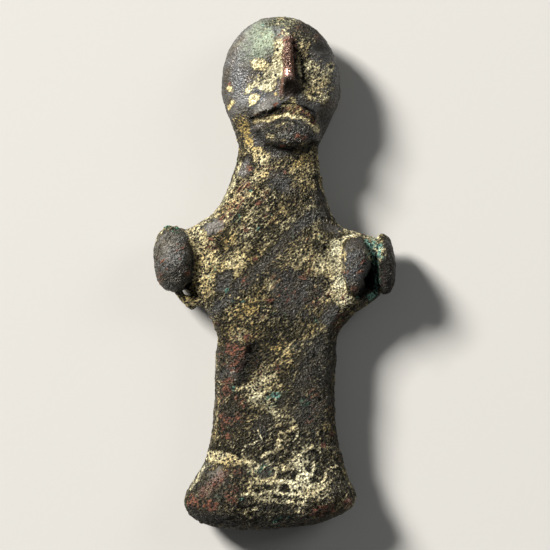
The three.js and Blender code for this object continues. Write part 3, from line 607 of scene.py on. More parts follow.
FOOT_MARKS = {
    "dark ground of the crust": spot(
        290, 468, 48, 42, edge=0.35, earth=0.06, warmth=0.35, calm=0.1, shade=0.32, crust=1.0,
    ),
    "smooth left foot": spot(
        213, 487, 27, 25, turn=-20, edge=0.3, earth=0.2, calm=0.22, shade=0.16, rise=0.05,
    ),
    # Painted sheen on the top of the left foot
    "pale top of the left foot": spot(217, 472, 8, 8, edge=0.8, bloom=0.5, earth=0.4, turquoise=0.0),
    "earth in the crease": streak(
        [(208, 456), (221, 457), (233, 460)], 10, ragged=0.3, earth=1.0, warmth=0.5, calm=0.0,
    ),
    "thin end of the crease": streak([(233, 460), (242, 461), (250, 461.5)], 5, earth=0.9, warmth=0.5),
    "dark edge over the crease": streak(
        [(210, 448), (224, 448.5), (240, 455), (250, 458)], 4, shade=0.6, earth=0.15,
    ),
    "pale edge of the left foot": streak(
        [(207, 464), (200, 474), (190, 490)], 3.5, earth=0.66, warmth=0.3, bloom=0.3, ragged=0.8,
    ),
    "pink streak on the foot": streak(
        [(224, 472), (215, 482), (203, 492)], 8, edge=0.8, cuprite=0.3, copper=0.42, earth=0.3,
    ),
    "red on the foot, upper": spot(238, 470, 7, 5, edge=0.8, cuprite=0.55),
    "red on the foot, middle": spot(232, 491, 8, 8, edge=0.8, cuprite=0.55),
    "red toe": spot(193, 502, 8, 6, turn=-15, edge=0.4, cuprite=0.68, warmth=0.8, shade=0.0),
    "red under the foot": spot(211, 505, 9, 6, turn=10, edge=0.5, cuprite=0.66, warmth=0.8, shade=0.1),
    "red under the foot, inner": spot(232, 499, 5, 4, edge=0.5, cuprite=0.66),
    "longest vein": vein(
        [(297, 426), (287, 431), (283, 438), (279, 446), (274, 452), (265, 453), (261, 458)], 3.2, 1.0,
    ),
    "second vein": vein([(281.5, 431), (279, 437), (277, 442)], 2.3, 0.9),
    "eye of the veins": vein([(297, 427), (298, 434), (293, 441), (288, 445)], 2.0, 0.7),
    "left vein, upper": vein([(258, 430), (262, 438), (254, 443), (246, 446)], 2.0, 0.7),
    "left vein, lower": vein([(246, 446), (241, 452), (246, 460), (254, 464)], 2.0, 0.6),
    "thick vein": vein([(311, 446), (305, 448), (303, 458), (293, 462)], 4.7, 1.0),
    "vein by the thick one": vein([(302, 452), (300, 462), (306, 470)], 3.1, 0.8),
    "grey green between the veins": spot(264, 469, 10, 8, edge=0.6, malachite=0.22, bloom=0.15, calm=0.4),
    "bow of the grey green": vein([(254, 476), (263, 478), (274, 476), (277, 466)], 1.9, 0.7),
    "short thick vein": vein([(302, 469), (306, 476), (309, 483)], 6.2, 1.0),
    "broad vein": vein([(251, 481), (262, 480), (274, 480), (292, 481), (310, 484), (325, 485)], 4.7, 1.0),
    "broad vein, left bow": vein([(251, 481), (249, 487), (253, 492)], 3.1, 0.8),
    "lower vein": vein(
        [(242.5, 493), (251, 491.5), (260, 494), (270, 492), (284, 493), (304, 495.5)], 3.1, 1.0,
    ),
    "vein across the broad ones": vein([(276, 480), (279, 487), (277, 493)], 2.7, 0.8),
    "vein across, right": vein([(292, 482), (295, 489), (303, 496)], 3.9, 0.9),
    "lowest vein": vein([(265, 500), (273, 501), (281.5, 502.6), (293, 501), (303, 502.6)], 2.3, 0.7),
    "vein under the sole, left": vein([(241, 513), (246, 514), (251, 518)], 3.1, 0.9),
    "vein under the sole": vein([(246, 512), (252, 509), (258, 507)], 3.1, 0.9),
    "right ring, upper": vein([(314.5, 463), (313, 468), (312, 472), (305, 475.5)], 2.5, 0.8),
    "right vein": vein([(336, 466), (330, 468), (327.5, 472), (325, 477), (318, 490)], 3.1, 0.8),
    "right vein, outer": vein([(325, 477), (331, 480), (322, 488)], 2.7, 0.7),
    "vein to the sole": vein([(307, 495.5), (303, 503), (299, 511)], 3.9, 1.0),
    "dense earth right of the veins": spot(
        302, 486, 17, 10, turn=-10, edge=0.5, ragged=1.1, earth=0.86, warmth=0.35, shade=0.1,
    ),
    "earth of the crust, lower left": spot(262, 495, 9, 4, edge=0.6, ragged=1.0, earth=1.0, warmth=0.3),
    "earth of the crust, upper left": spot(253, 468, 7, 5, edge=0.7, ragged=1.0, earth=0.85, warmth=0.4),
    "earth of the crust, lower right": spot(316, 495, 7, 5, edge=0.7, ragged=1.0, earth=0.95, warmth=0.4),
    "earth of the crust, middle": spot(
        299, 477, 8, 6, edge=0.6, ragged=1.0, earth=1.3, warmth=0.3, shade=0.0,
    ),
    "earth along the thick vein": spot(
        299, 459, 6, 8, edge=0.6, ragged=1.0, earth=1.1, warmth=0.4, shade=0.1,
    ),
    "earth in the bend of the longest vein": spot(
        280, 449, 6, 5, edge=0.7, ragged=1.0, earth=0.8, warmth=0.4,
    ),
    # Painted shade under the left toes
    "dark under the left toes": spot(200, 516, 12, 6, edge=0.6, shade=0.6),
    "dark skin right of the veins": spot(326, 475, 6, 6, edge=0.7, earth=0.1, shade=0.7),
    "earth between the veins": spot(284, 468, 8, 4, edge=0.7, ragged=1.0, earth=0.8, warmth=0.4),
    "browner earth between the veins": spot(307, 486, 6, 5, edge=0.7, earth=0.7, warmth=0.6, shade=0.2),
    # Painted shade where the left foot turns down away from the light
    "dark underside of the left foot": streak(
        [(190, 511), (205, 517), (228, 520)], 12, edge=0.8, shade=1.0,
    ),
    "dark knob, first": spot(256, 487, 4.5, 4, rise=0.06, shade=0.5, earth=0.0),
    "dark knob, second": spot(266, 487, 4, 3.5, rise=0.05, shade=0.5, earth=0.0),
    "dark knob, third": spot(284, 487.5, 4.5, 4, rise=0.05, shade=0.5, earth=0.0),
    "dark hollow, upper": spot(291, 434, 5, 5, rise=-0.12, shade=0.4, earth=0.05),
    "dark hollow, middle": spot(290, 474, 5, 4, rise=-0.12, shade=0.6, earth=0.05),
    "dark hollow, right": spot(318, 470, 7, 9, rise=-0.05, shade=0.3, earth=0.1, malachite=0.15),
    "teal on the sole": streak(
        [(271, 522.6), (278, 518.5), (288, 515.6)], 3.5, malachite=0.6, turquoise=0.4, shade=0.0,
    ),
    "smooth right foot": spot(335, 490, 14, 12, turn=20, edge=0.6, earth=0.2, calm=0.25, shade=0.15),
    "yellow right edge of the foot": streak([(341, 465), (347, 478), (352, 490)], 3, earth=0.6, warmth=0.6),
    "red under the right foot": spot(325, 510, 14, 6, turn=5, edge=0.4, cuprite=0.7, warmth=0.8, shade=0.0),
    "red edge of the right foot": spot(348, 503, 5, 4, turn=40, cuprite=0.7, copper=0.3),
    "glint on the right foot": spot(348, 499.5, 2.5, 2, copper=1.0, calm=1.0),
    # Painted shade under the toes, over a shallow hollow
    "dark under the toes": streak(
        [(240, 505), (262, 506), (285, 509), (300, 507)], 6, shade=0.75, rise=-0.08,
    ),
}

# Rounder parts of the hand on the right: column, row, half width, half height in pixels, turn in degrees,
# and the height of its middle and its half depth in millimetres
HAND_LOBES = (
    (357.5, 258, 12.6, 20, 8, 6.95, 1.5),
    (355, 276, 9, 16, -8, 6.8, 1.4),
)

# Small forms. Ovals are column, row, half width and half height in pixels; drops and heights are in
# millimetres, and the lists give a height or a row for each row or column
LIP_FOOT = (288, 143, 30, 13)
LIP_DROP = 0.45
GRIP = (375, 274, 6, 17)
INNER_LOBE_DROP = 0.4
OUTER_LOBE_DROP = 0.8
WING_HEIGHT = 0.45
FACE_HEIGHT = 8
NOSE_TIP_RADIUS = 9.5  # pixels
NOSE_TIP_DROP = 0.12
NOSE_SLOPE = ((77, 10.75), (82, 10.1), (88, 9.35), (94, 8.95), (100, 8.74))
MOUTH_EARTH = [(256, 120), (268, 117.5), (279, 115), (290, 114), (301, 117.5), (311, 123.5), (318.5, 132)]
MOUTH_EARTH_HEIGHTS = (
    (252, 7.9), (262, 8.35), (275, 8.5), (290, 8.47), (302, 8.25), (312, 7.65), (320, 6.85), (326, 6.1),
)
CHEEK_EDGE_ROWS = ((252, 118.5), (258, 116), (264, 113.5), (270, 111.5), (276, 109), (281, 106.5))
CHEEK_EDGE_HEIGHTS = ((252, 8.1), (258, 8.5), (264, 8.75), (270, 8.85), (276, 8.85), (281, 8.75))
GRIP_SILT_HEIGHTS = ((367, 3.4), (372, 4.9), (376, 5.6))

CRISP_FORMS = {
    "ribs under the left hand": spot(186, 300, 17, 13, edge=0.2, ragged=0, held=0.99),
    "nose": spot(290, 68, 12, 36, edge=0.3, ragged=0, held=0.95),
    "mouth": spot(288, 124, 36, 28, edge=0.3, ragged=0, held=0.93),
    "right hand": spot(370, 265, 32, 44, edge=0.2, ragged=0, held=0.93),
}

MARKS = (HEAD_MARKS, MOUTH_MARKS, CHEST_MARKS, HAND_MARKS, LAP_MARKS, FOOT_MARKS)


def distance_to_route(columns, rows, route):
    """Distance in pixels from each place to the route."""
    shortest = np.full(len(columns), np.inf)
    for (x0, y0), (x1, y1) in zip(route, route[1:]):
        run, fall = x1 - x0, y1 - y0
        share = np.clip(((columns - x0) * run + (rows - y0) * fall) / (run * run + fall * fall), 0, 1)
        shortest = np.minimum(shortest, np.hypot(columns - x0 - share * run, rows - y0 - share * fall))
    return shortest


def reach_of(mark, columns, rows, wander):
    """How strongly the mark covers each place, 0 to 1. Its edge wanders by the ragged share of its size."""
    drift = mark["ragged"] * min(mark["wide"], mark["tall"])
    x = columns + drift * wander[0]
    y = rows + drift * wander[1]
    if len(mark["route"]) > 1:
        out = distance_to_route(x, y, mark["route"]) / mark["wide"]
    else:
        dx, dy = x - mark["route"][0][0], mark["route"][0][1] - y
        along = dx * math.cos(mark["turn"]) + dy * math.sin(mark["turn"])
        across = dy * math.cos(mark["turn"]) - dx * math.sin(mark["turn"])
        out = np.hypot(along / mark["wide"], across / mark["tall"])
    return eased(out, 1 + mark["edge"], 1 - mark["edge"])


def ground(points, normals):
    """The channels before any mark: bare on the head, earthy on the body, plainer and blotchy behind."""
    columns, rows = columns_and_rows(points)
    blotches = fractal(points, size=6.0, octaves=2, seed=31)
    specks = fractal(streaked(points, stretch=1.6), size=1.8, octaves=2, seed=37)
    behind = eased(normals[:, 2], 0.1, -0.3)
    below_chin = eased(rows, *CHIN_ROWS)
    body = below_chin * (0.46 + 0.16 * specks) - 0.06 * eased(rows, *BELLY_ROWS)
    back = 0.36 + 0.3 * blotches + 0.12 * specks
    skin = {name: np.zeros(len(points)) for name in FINISHES + RELIEFS}
    skin["earth"] = np.where(behind > 0.5, back, body)
    skin["warmth"] = 0.62 + 0.3 * fractal(points, size=4.0, octaves=2, seed=41)
    skin["cuprite"] = -0.1 + 0.4 * eased(fractal(points, size=4.5, octaves=2, seed=43), 0.3, 0.8)
    skin["malachite"] = -0.25 + 0.55 * eased(fractal(points, size=3.6, octaves=2, seed=47), 0.5, 0.95)
    # Painted shade: darker down the body below the waist, and where the foot turns down away from the light
    skin["shade"] = 0.14 * eased(rows, *WAIST_ROWS) + 0.6 * eased(rows, *SOLE_ROWS)
    skin["turquoise"] = 0.1 + 0.3 * fractal(points, size=2.5, octaves=1, seed=53)
    skin["calm"] = 0.25 * behind + 0.2 * eased(blotches, 0.0, 0.6)
    return skin


def columns_and_rows(points):
    """Where points in millimetres stand on the photograph, in pixels."""
    return points[:, 0] / PIXEL + MIDDLE_COLUMN, MIDDLE_ROW - points[:, 1] / PIXEL


def marked_skin(points, normals):
    """Every channel of the skin at each point, with the marks laid over the ground from the front."""
    skin = ground(points, normals)
    columns, rows = columns_and_rows(points)
    wander = []
    for seed in (61, 67):
        fine = 0.5 * fractal(points, size=0.5, octaves=2, seed=seed + 4)
        wander.append(fractal(points, size=1.5, octaves=3, seed=seed) + fine)
    front = eased(normals[:, 2], -0.1, 0.25)
    for mark in (mark for group in MARKS for mark in group.values()):
        # Only the points that the mark can reach are worked on
        margin = max(mark["wide"], mark["tall"]) * 2.2 + 2
        across = [place[0] for place in mark["route"]]
        down = [place[1] for place in mark["route"]]
        near = np.flatnonzero(
            (columns > min(across) - margin) & (columns < max(across) + margin)
            & (rows > min(down) - margin) & (rows < max(down) + margin) & (front > 0)
        )
        reach = reach_of(mark, columns[near], rows[near], (wander[0][near], wander[1][near])) * front[near]
        for name, amount in mark["gives"].items():
            if name in ADDED_UP:
                skin[name][near] = skin[name][near] + reach * amount
            else:
                skin[name][near] = skin[name][near] * (1 - reach) + reach * amount
    return skin


def relief_of(points, normals, skin, depth):
    """How far each point rises from the smooth casting, in millimetres. In each bracket with rough in it,
    the first number is the share that is left on calm skin."""
    rough = 1 - np.clip(skin["calm"], 0, 1)
    lines = streaked(points, stretch=1.7)
    lumps = LUMP_HEIGHT * fractal(points, size=3.4, octaves=2, seed=71) * (0.3 + 0.7 * rough)
    ripples = RIPPLE_HEIGHT * fractal(lines, size=1.25, octaves=2, seed=73) * (0.07 + 0.93 * rough)
    grain = GRAIN_HEIGHT * fractal(lines, size=0.5, octaves=2, seed=79) * (0.03 + 0.97 * rough)
    away, _, share = cells(streaked(points, stretch=1.4), size=0.95, seed=83)
    pits = -PIT_DEPTH * eased(away, 0.42, 0.1) * eased(share, 0.35, 0.8) * (0.1 + 0.9 * rough)
    near, following, _ = cells(points, size=CRUST_CELL, seed=107)
    seams = eased(following - near, 0.28, 0.05)
    crust = skin["crust"] * (CRUST_SEAM_HEIGHT * seams - CRUST_SUNK)
    veins = np.clip(skin["vein"], 0, 1) * (0.08 + 0.07 * fractal(points, size=0.8, octaves=2, seed=101))
    return (lumps + ripples + grain + pits + crust) * depth + veins + skin["rise"]


# Meshes
def mesh_arrays(mesh):
    """Vertices in millimetres, unit vertex normals and edges of a mesh."""
    count = len(mesh.vertices)
    points = np.empty(count * 3)
    mesh.vertices.foreach_get("co", points)
    normals = np.empty(count * 3)
    mesh.vertex_normals.foreach_get("vector", normals)
    edges = np.empty(len(mesh.edges) * 2, dtype=int)
    mesh.edges.foreach_get("vertices", edges)
    return points.reshape(-1, 3) / MILLIMETRE, normals.reshape(-1, 3), edges.reshape(-1, 2)


def place_points(mesh, points):
    """Moves the vertices to these places, given in millimetres."""
    mesh.vertices.foreach_set("co", (points * MILLIMETRE).ravel())
    mesh.update()


def neighbour_mean(values, edges, degree):
    """Mean of each vertex's neighbours."""
    total = np.empty_like(values)
    for axis in range(values.shape[1]):
        ends = np.bincount(edges[:, 0], values[edges[:, 1], axis], len(values))
        starts = np.bincount(edges[:, 1], values[edges[:, 0], axis], len(values))
        total[:, axis] = ends + starts
    return total / degree[:, None]


def smoothed(points, edges, held, rounds):
    """The points without the facets. What rounding takes off a convex form is given back, as far as it is
    smooth itself, so forms keep their size. Held points move little."""
    degree = np.bincount(edges.ravel(), minlength=len(points))
    free = SMOOTHING_STEP * (1 - held)[:, None]
    given = points
    for _ in range(rounds):
        given = given + free * (neighbour_mean(given, edges, degree) - given)
    taken = points - given
    for _ in range(rounds):
        taken = taken + free * (neighbour_mean(taken, edges, degree) - taken)
    return given + taken


def crisp_forms(points):
    """How far each point belongs to a thin or sharp form that smoothing would blunt, from 0 to 1."""
    columns, rows = columns_and_rows(points)
    still = (np.zeros(len(points)), np.zeros(len(points)))
    held = np.zeros(len(points))
    for form in CRISP_FORMS.values():
        held = np.maximum(held, reach_of(form, columns, rows, still) * form["gives"]["held"])
    return held


def heights_at(places, heights):
    """The height at each place, in straight lines from one given height to the next."""
    at, high = zip(*heights)
    return np.interp(places, at, high)


def filled(points, where, level, floor):
    """Raises the points to the level where something fills them up, apart from those below the floor."""
    points[:, 2] += where * np.where(points[:, 2] > floor, np.maximum(level - points[:, 2], 0), 0)


def oval_reach(columns, rows, oval):
    """How far out each place lies in an oval of column, row, half width and half height; 1 on its rim."""
    column, row, wide, tall = oval
    return np.hypot((columns - column) / wide, (rows - row) / tall)


def droop_nose(points, columns, rows):
    """Slopes the tip of the nose down to the face, with wings that stand a little over the slope."""
    ridge = 290.5
    half_width = 8
    bend = 5.5  # rows that the slope runs lower at that half width
    slope = heights_at(rows + bend * ((columns - ridge) / half_width) ** 2, NOSE_SLOPE)
    slope = slope + 0.06 * fractal(points, size=0.7, octaves=2, seed=109)
    from_middle = np.abs(columns - 290.8)
    wings = WING_HEIGHT * eased(from_middle, 4, 9) * eased(rows, 99, 90) * eased(rows, 80, 86)
    tip_middle = 291.3
    under = (np.abs(columns - tip_middle) < 11) & (rows > 76) & (rows < 99) & (points[:, 2] > FACE_HEIGHT)
    points[:, 2] = np.where(under, np.minimum(points[:, 2], slope + wings), points[:, 2])
    full = under & (np.hypot(columns - 291.5, rows - 88) < NOSE_TIP_RADIUS)
    points[:, 2] = np.where(full, np.maximum(points[:, 2], slope - NOSE_TIP_DROP), points[:, 2])


def lower_lip(points, columns, rows):
    """Hangs the foot of the lip lower."""
    front = eased(points[:, 2], 6.0, 6.8)
    points[:, 1] -= LIP_DROP * (eased(oval_reach(columns, rows, LIP_FOOT), 1.2, 0.3) * front)


def cake_mouth(points, columns, rows):
    """Fills the arch of the mouth with caked earth."""
    away = distance_to_route(columns, rows, MOUTH_EARTH)
    inside = eased(away, 13, 9) * eased(columns, 251, 259) * eased(columns, 324, 317)
    caked = heights_at(columns, MOUTH_EARTH_HEIGHTS) + 0.14 * fractal(points, size=0.8, octaves=2, seed=103)
    filled(points, inside, caked, floor=5)


def edge_cheek(points, columns, rows):
    """Brings the left cheek down to a low edge over the mouth."""
    edge = heights_at(columns, CHEEK_EDGE_ROWS)
    cheek = eased(rows, edge + 0.7, edge - 0.9) * eased(rows, 98, 102)
    cheek = cheek * eased(columns, 251, 255) * eased(columns, 283, 279)
    filled(points, cheek, heights_at(columns, CHEEK_EDGE_HEIGHTS), floor=6.5)


def silt_grip(points, columns, rows):
    """Lays silt in the grip of the hand on the right."""
    grip = eased(oval_reach(columns, rows, GRIP), 1.3, 0.8)
    silt = heights_at(columns, GRIP_SILT_HEIGHTS) + 0.15 * fractal(points, size=0.9, octaves=2, seed=117)
    filled(points, grip, silt, floor=2.5)


def lower_lobes(points, columns, rows):
    """Hangs the two lobes of the hand on the right lower, the outer one more."""
    inner = eased(np.abs(columns - 357), 22, 15) * eased(rows, 228, 236) * eased(rows, 306, 296)
    outer = eased(columns, 374, 381) * eased(rows, 222, 231) * eased(rows, 312, 296)
    drop = INNER_LOBE_DROP * inner * (1 - outer) + OUTER_LOBE_DROP * outer
    points[:, 1] -= drop * eased(points[:, 2], 3.5, 5.5)


def shaped(points):
    """The points with the forms that are too small for the casting's plain solid."""
    points = points.copy()
    columns, rows = columns_and_rows(points)
    for form in (droop_nose, lower_lip, cake_mouth, edge_cheek, silt_grip, lower_lobes):
        form(points, columns, rows)
    return points


def with_lobes(casting):
    """The casting with the rounder parts of the hand on the right, which the remesh welds on."""
    shape = bmesh.new()
    shape.from_mesh(casting)
    for column, row, wide, tall, turn, middle, deep in HAND_LOBES:
        seat = np.array(((column - MIDDLE_COLUMN) * PIXEL, (MIDDLE_ROW - row) * PIXEL, middle)) * MILLIMETRE
        size = Vector((wide * PIXEL, tall * PIXEL, deep)) * MILLIMETRE
        matrix = Matrix.LocRotScale(Vector(seat.tolist()), Euler((0, 0, math.radians(turn))), size)
        bmesh.ops.create_icosphere(shape, subdivisions=4, radius=1, matrix=matrix)
    fuller = bpy.data.meshes.new("fuller_casting")
    shape.to_mesh(fuller)
    shape.free()
    return fuller


def with_modifier(source, name, kind, settings):
    """A new mesh: source with one modifier applied."""
    shape = bpy.data.objects.new(name, source)
    bpy.context.scene.collection.objects.link(shape)
    modifier = shape.modifiers.new(name, kind)
    for setting, value in settings.items():
        setattr(modifier, setting, value)
    made = bpy.data.meshes.new_from_object(shape.evaluated_get(bpy.context.evaluated_depsgraph_get()))
    bpy.data.objects.remove(shape)
    return made


def green_crust(points, normals):
    """Rise of the lump of malachite on top of the left hand, in millimetres, and where it lies."""
    columns, rows = columns_and_rows(points)
    ragged = 2.5 * fractal(points, size=1.0, octaves=2, seed=95)
    top = eased(rows + ragged, 234.5, 231) * eased(np.abs(columns - 171.5 + ragged), 9, 5.5)
    top = top * eased(points[:, 2] + 0.3 * ragged, 4.6, 5.8)
    grains = 0.5 + 0.5 * fractal(points, size=0.7, octaves=2, seed=97)
    lumps = top * eased(grains, 0.25, 0.8)
    return GREEN_LUMP_HEIGHT * lumps, 0.1 * top + 0.6 * lumps


def skin_mesh(spacing, depth, faces_wanted):
    """The figure's closed skin, remeshed from the casting, smoothed and corroded."""
    fuller = with_lobes(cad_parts["votive_figure"].data)
    fine = with_modifier(fuller, "fine_casting", "REMESH", {"mode": "VOXEL", "voxel_size": spacing})
    bpy.data.meshes.remove(fuller)
    points, _, edges = mesh_arrays(fine)
    points = shaped(smoothed(points, edges, crisp_forms(points), FACET_ROUNDS))
    points = smoothed(points, edges, np.zeros(len(points)), SEAM_ROUNDS)
    place_points(fine, points)
    points, normals, _ = mesh_arrays(fine)
    rise = relief_of(points, normals, marked_skin(points, normals), depth)
    rise = rise + green_crust(points, normals)[0]
    points = points + normals * rise[:, None]
    points[:, 2] = np.maximum(points[:, 2], 0)
    place_points(fine, points)
    triangles = sum(len(face.vertices) - 2 for face in fine.polygons)
    share = min(1.0, faces_wanted / triangles)
    skin = with_modifier(fine, "lighter_casting", "DECIMATE", {"ratio": share})
    bpy.data.meshes.remove(fine)
    return skin


def hollow_of(points, normals, edges):
    """How deep each point lies below its surroundings, from 1 in a hollow to -1 on a crest."""
    degree = np.maximum(np.bincount(edges.ravel(), minlength=len(points)), 1)
    around = points
    for _ in range(HOLLOW_ROUNDS):
        around = neighbour_mean(around, edges, degree)
    return np.clip(np.einsum("ij,ij->i", around - points, normals) / HOLLOW_DEPTH, -1, 1)


def store_channels(mesh):
    """Writes what the material needs as attributes: each channel, and how hollow the skin lies."""
    points, normals, edges = mesh_arrays(mesh)
    skin = marked_skin(points, normals)
    crust = green_crust(points, normals)[1]
    hollow = hollow_of(points, normals, edges)
    near, following, _ = cells(points, size=CRUST_CELL, seed=107)
    seams = skin["crust"] * eased(following - near, 0.26, 0.1)

    # Veins and the crust's seams are thick pale earth, and a little earth clings in every rough hollow
    broken = 0.9 + 0.6 * fractal(points, size=0.9, octaves=2, seed=113)
    veins = np.clip(skin["vein"] * broken + 0.4 * seams, 0, 1)
    clinging = 0.22 * np.clip(hollow, 0, 1) * (1 - skin["calm"])
    skin["earth"] = skin["earth"] * (1 - veins) + 1.1 * veins + clinging
    skin["warmth"] = skin["warmth"] * (1 - veins) + 0.3 * veins
    skin["shade"] = skin["shade"] * (1 - 0.8 * veins)
    skin["malachite"] = np.where(crust > 0.05, np.maximum(skin["malachite"], crust), skin["malachite"])
    skin["hollow"] = hollow
    for name in (*FINISHES, "hollow"):
        layer = mesh.attributes.new(name, "FLOAT", "POINT")
        layer.data.foreach_set("value", np.clip(skin[name], -1, 1).astype(np.float32))


# Materials
def add(tree, kind, inputs=None, **settings):
    """A new node with its settings. An input goes by its name, or by its number where several have the
    same name, and takes a value or the socket that it is linked to."""
    node = tree.nodes.new(kind)
    for name, value in settings.items():
        setattr(node, name, value)
    for socket, value in (inputs or {}).items():
        if isinstance(value, bpy.types.NodeSocket):
            tree.links.new(value, node.inputs[socket])
        else:
            node.inputs[socket].default_value = value
    return node


def opaque(colour):
    """A colour property as a four-part socket value."""
    return (*colour[:3], 1.0)


def grains_of(tree, place, size, detail, low, high):
    """Random grains of this size in metres, as a share from 0 to 1 between two levels of the noise."""
    noise = add(
        tree, "ShaderNodeTexNoise",
        {"Vector": place, "Scale": 1 / size, "Detail": detail, "Roughness": GRAIN_ROUGHNESS},
    )
    spread = {"Value": noise.outputs["Fac"], "From Min": low, "From Max": high}
    return add(tree, "ShaderNodeMapRange", spread).outputs["Result"]


def cover_of(tree, channel, grains, spread, soft):
    """How thick a finish lies and where. Its channel says how likely it is, and grains decide each place."""
    likely = add(tree, "ShaderNodeAttribute", attribute_name=channel).outputs["Fac"]
    parts = {0: grains, 1: spread, 2: likely}
    thick = add(tree, "ShaderNodeMath", parts, operation="MULTIPLY_ADD").outputs[0]
    middle = 0.5 + spread / 2
    edge = {"Value": thick, "From Min": middle - soft, "From Max": middle + soft}
    return thick, add(tree, "ShaderNodeMapRange", edge, interpolation_type="SMOOTHSTEP").outputs["Result"]


def dappled(tree, colour, grains, dark, light):
    """The colour, dark times as bright where the grains are low and light times where they are high."""
    tones = {"Value": grains, "To Min": dark, "To Max": light}
    tone = add(tree, "ShaderNodeMapRange", tones).outputs["Result"]
    parts = {FACTOR: 1.0, FIRST_COLOUR: colour, SECOND_COLOUR: tone}
    return add(tree, "ShaderNodeMix", parts, data_type="RGBA", blend_type="MULTIPLY").outputs[MIXED_COLOUR]


def patterns_of(tree, looks):
    """The patterns that the finishes share, each from 0 to 1. Grit decides where earth holds, flecks where
    red and green lie, and finer grains and specks roughen every finish."""
    place = add(tree, "ShaderNodeTexCoord").outputs["Object"]
    turned = {"Vector": place, "Rotation": (0, 0, STREAK_ANGLE), "Scale": (STREAK_STRETCH, 1, 1)}
    streaks = add(tree, "ShaderNodeMapping", turned, vector_type="TEXTURE").outputs["Vector"]
    fine = grains_of(tree, streaks, looks.grit_size, detail=2, low=0.3, high=0.7)
    coarse = grains_of(tree, streaks, looks.grit_size * 3.4, detail=2, low=0.3, high=0.7)
    return {
        "place": place,
        "fine grit": fine,
        "grit": add(tree, "ShaderNodeMix", {FACTOR: 0.36, FIRST: fine, SECOND: coarse}).outputs[0],
        "flecks": grains_of(tree, streaks, looks.grit_size * 1.7, detail=3, low=0.32, high=0.68),
        "grains": grains_of(tree, place, looks.grain_size, detail=2, low=0.3, high=0.7),
        "specks": grains_of(tree, place, looks.speck_size, detail=1, low=0.4, high=0.6),
        "clouds": grains_of(tree, streaks, CLOUD_SIZE, detail=3, low=0.36, high=0.64),
    }


def pits_of(tree, looks, pattern, rough):
    """Dark round holes at random distances, ragged by the grains, and few where the skin is smooth."""
    scattered = add(
        tree, "ShaderNodeTexVoronoi", {"Vector": pattern["place"], "Scale": 1 / looks.hole_spacing}
    ).outputs["Distance"]
    parts = {0: pattern["grains"], 1: 0.3, 2: scattered}
    ragged = add(tree, "ShaderNodeMath", parts, operation="MULTIPLY_ADD").outputs[0]
    edge = {"Value": ragged, "From Min": 0.64, "From Max": 0.36}
    pits = add(tree, "ShaderNodeMapRange", edge, interpolation_type="SMOOTHSTEP").outputs["Result"]
    return add(tree, "ShaderNodeMath", {0: pits, 1: rough}, operation="MULTIPLY").outputs[0]


def finish_colours(tree, looks, held, pattern, amount):
    """The colour of each finish, where amount says how thick the earth lies."""
    colours = {}
    for name, share, first, second in (
        # The grey of the bloom is a pale film, and also painted sheen and painted light on smooth skin
        ("bloom", held["turquoise"], looks.grey_sheen_and_film, looks.bloom),
        ("smooth skin", pattern["clouds"], looks.grey_skin, looks.brown_skin),
        ("pale earth", amount, looks.thin_earth, looks.cream_earth),
        ("yellow earth", amount, looks.dark_earth, looks.ochre_earth),
        ("cuprite", pattern["grains"], looks.dark_cuprite, looks.light_cuprite),
        ("malachite", held["turquoise"], looks.malachite, looks.turquoise),
    ):
        parts = {FACTOR: share, FIRST_COLOUR: opaque(first), SECOND_COLOUR: opaque(second)}
        colours[name] = add(tree, "ShaderNodeMix", parts, data_type="RGBA").outputs[MIXED_COLOUR]

    # Bare skin has an olive film where it is rough, and fainter grains and specks where it is smooth
    olive = opaque(looks.olive_skin)
    parts = {FACTOR: held["calm"], FIRST_COLOUR: olive, SECOND_COLOUR: colours["smooth skin"]}
    colours["skin"] = add(tree, "ShaderNodeMix", parts, data_type="RGBA").outputs[MIXED_COLOUR]
    even = add(tree, "ShaderNodeMath", {0: held["calm"], 1: 0.62}, operation="MULTIPLY").outputs[0]
    faint = {
        name: add(tree, "ShaderNodeMix", {FACTOR: even, FIRST: pattern[name], SECOND: 0.5}).outputs[0]
        for name in ("grains", "specks")
    }

    # Earth is dark and olive where thin, cream where thick, and more ochre where it is warm
    parts = {0: pattern["clouds"], 1: 0.5, 2: held["warmth"]}
    warm = add(tree, "ShaderNodeMath", parts, operation="MULTIPLY_ADD").outputs[0]
    warm = add(tree, "ShaderNodeMath", {0: warm, 1: 0.25}, operation="SUBTRACT").outputs[0]
    parts = {FACTOR: warm, FIRST_COLOUR: colours["pale earth"], SECOND_COLOUR: colours["yellow earth"]}
    colours["earth"] = add(tree, "ShaderNodeMix", parts, data_type="RGBA").outputs[MIXED_COLOUR]

    for name, grains, dark, light in (
        ("skin", faint["grains"], 0.4, 1.62),
        ("skin", faint["specks"], 0.32, 1.8),
        ("earth", pattern["grains"], 0.6, 1.3),
        ("earth", pattern["specks"], 0.45, 1.3),
        ("cuprite", pattern["specks"], 0.45, 1.3),
        ("malachite", pattern["grains"], 0.3, 1.2),
        ("malachite", pattern["specks"], 0.4, 1.3),
    ):
        colours[name] = dappled(tree, colours[name], grains, dark, light)
    return colours


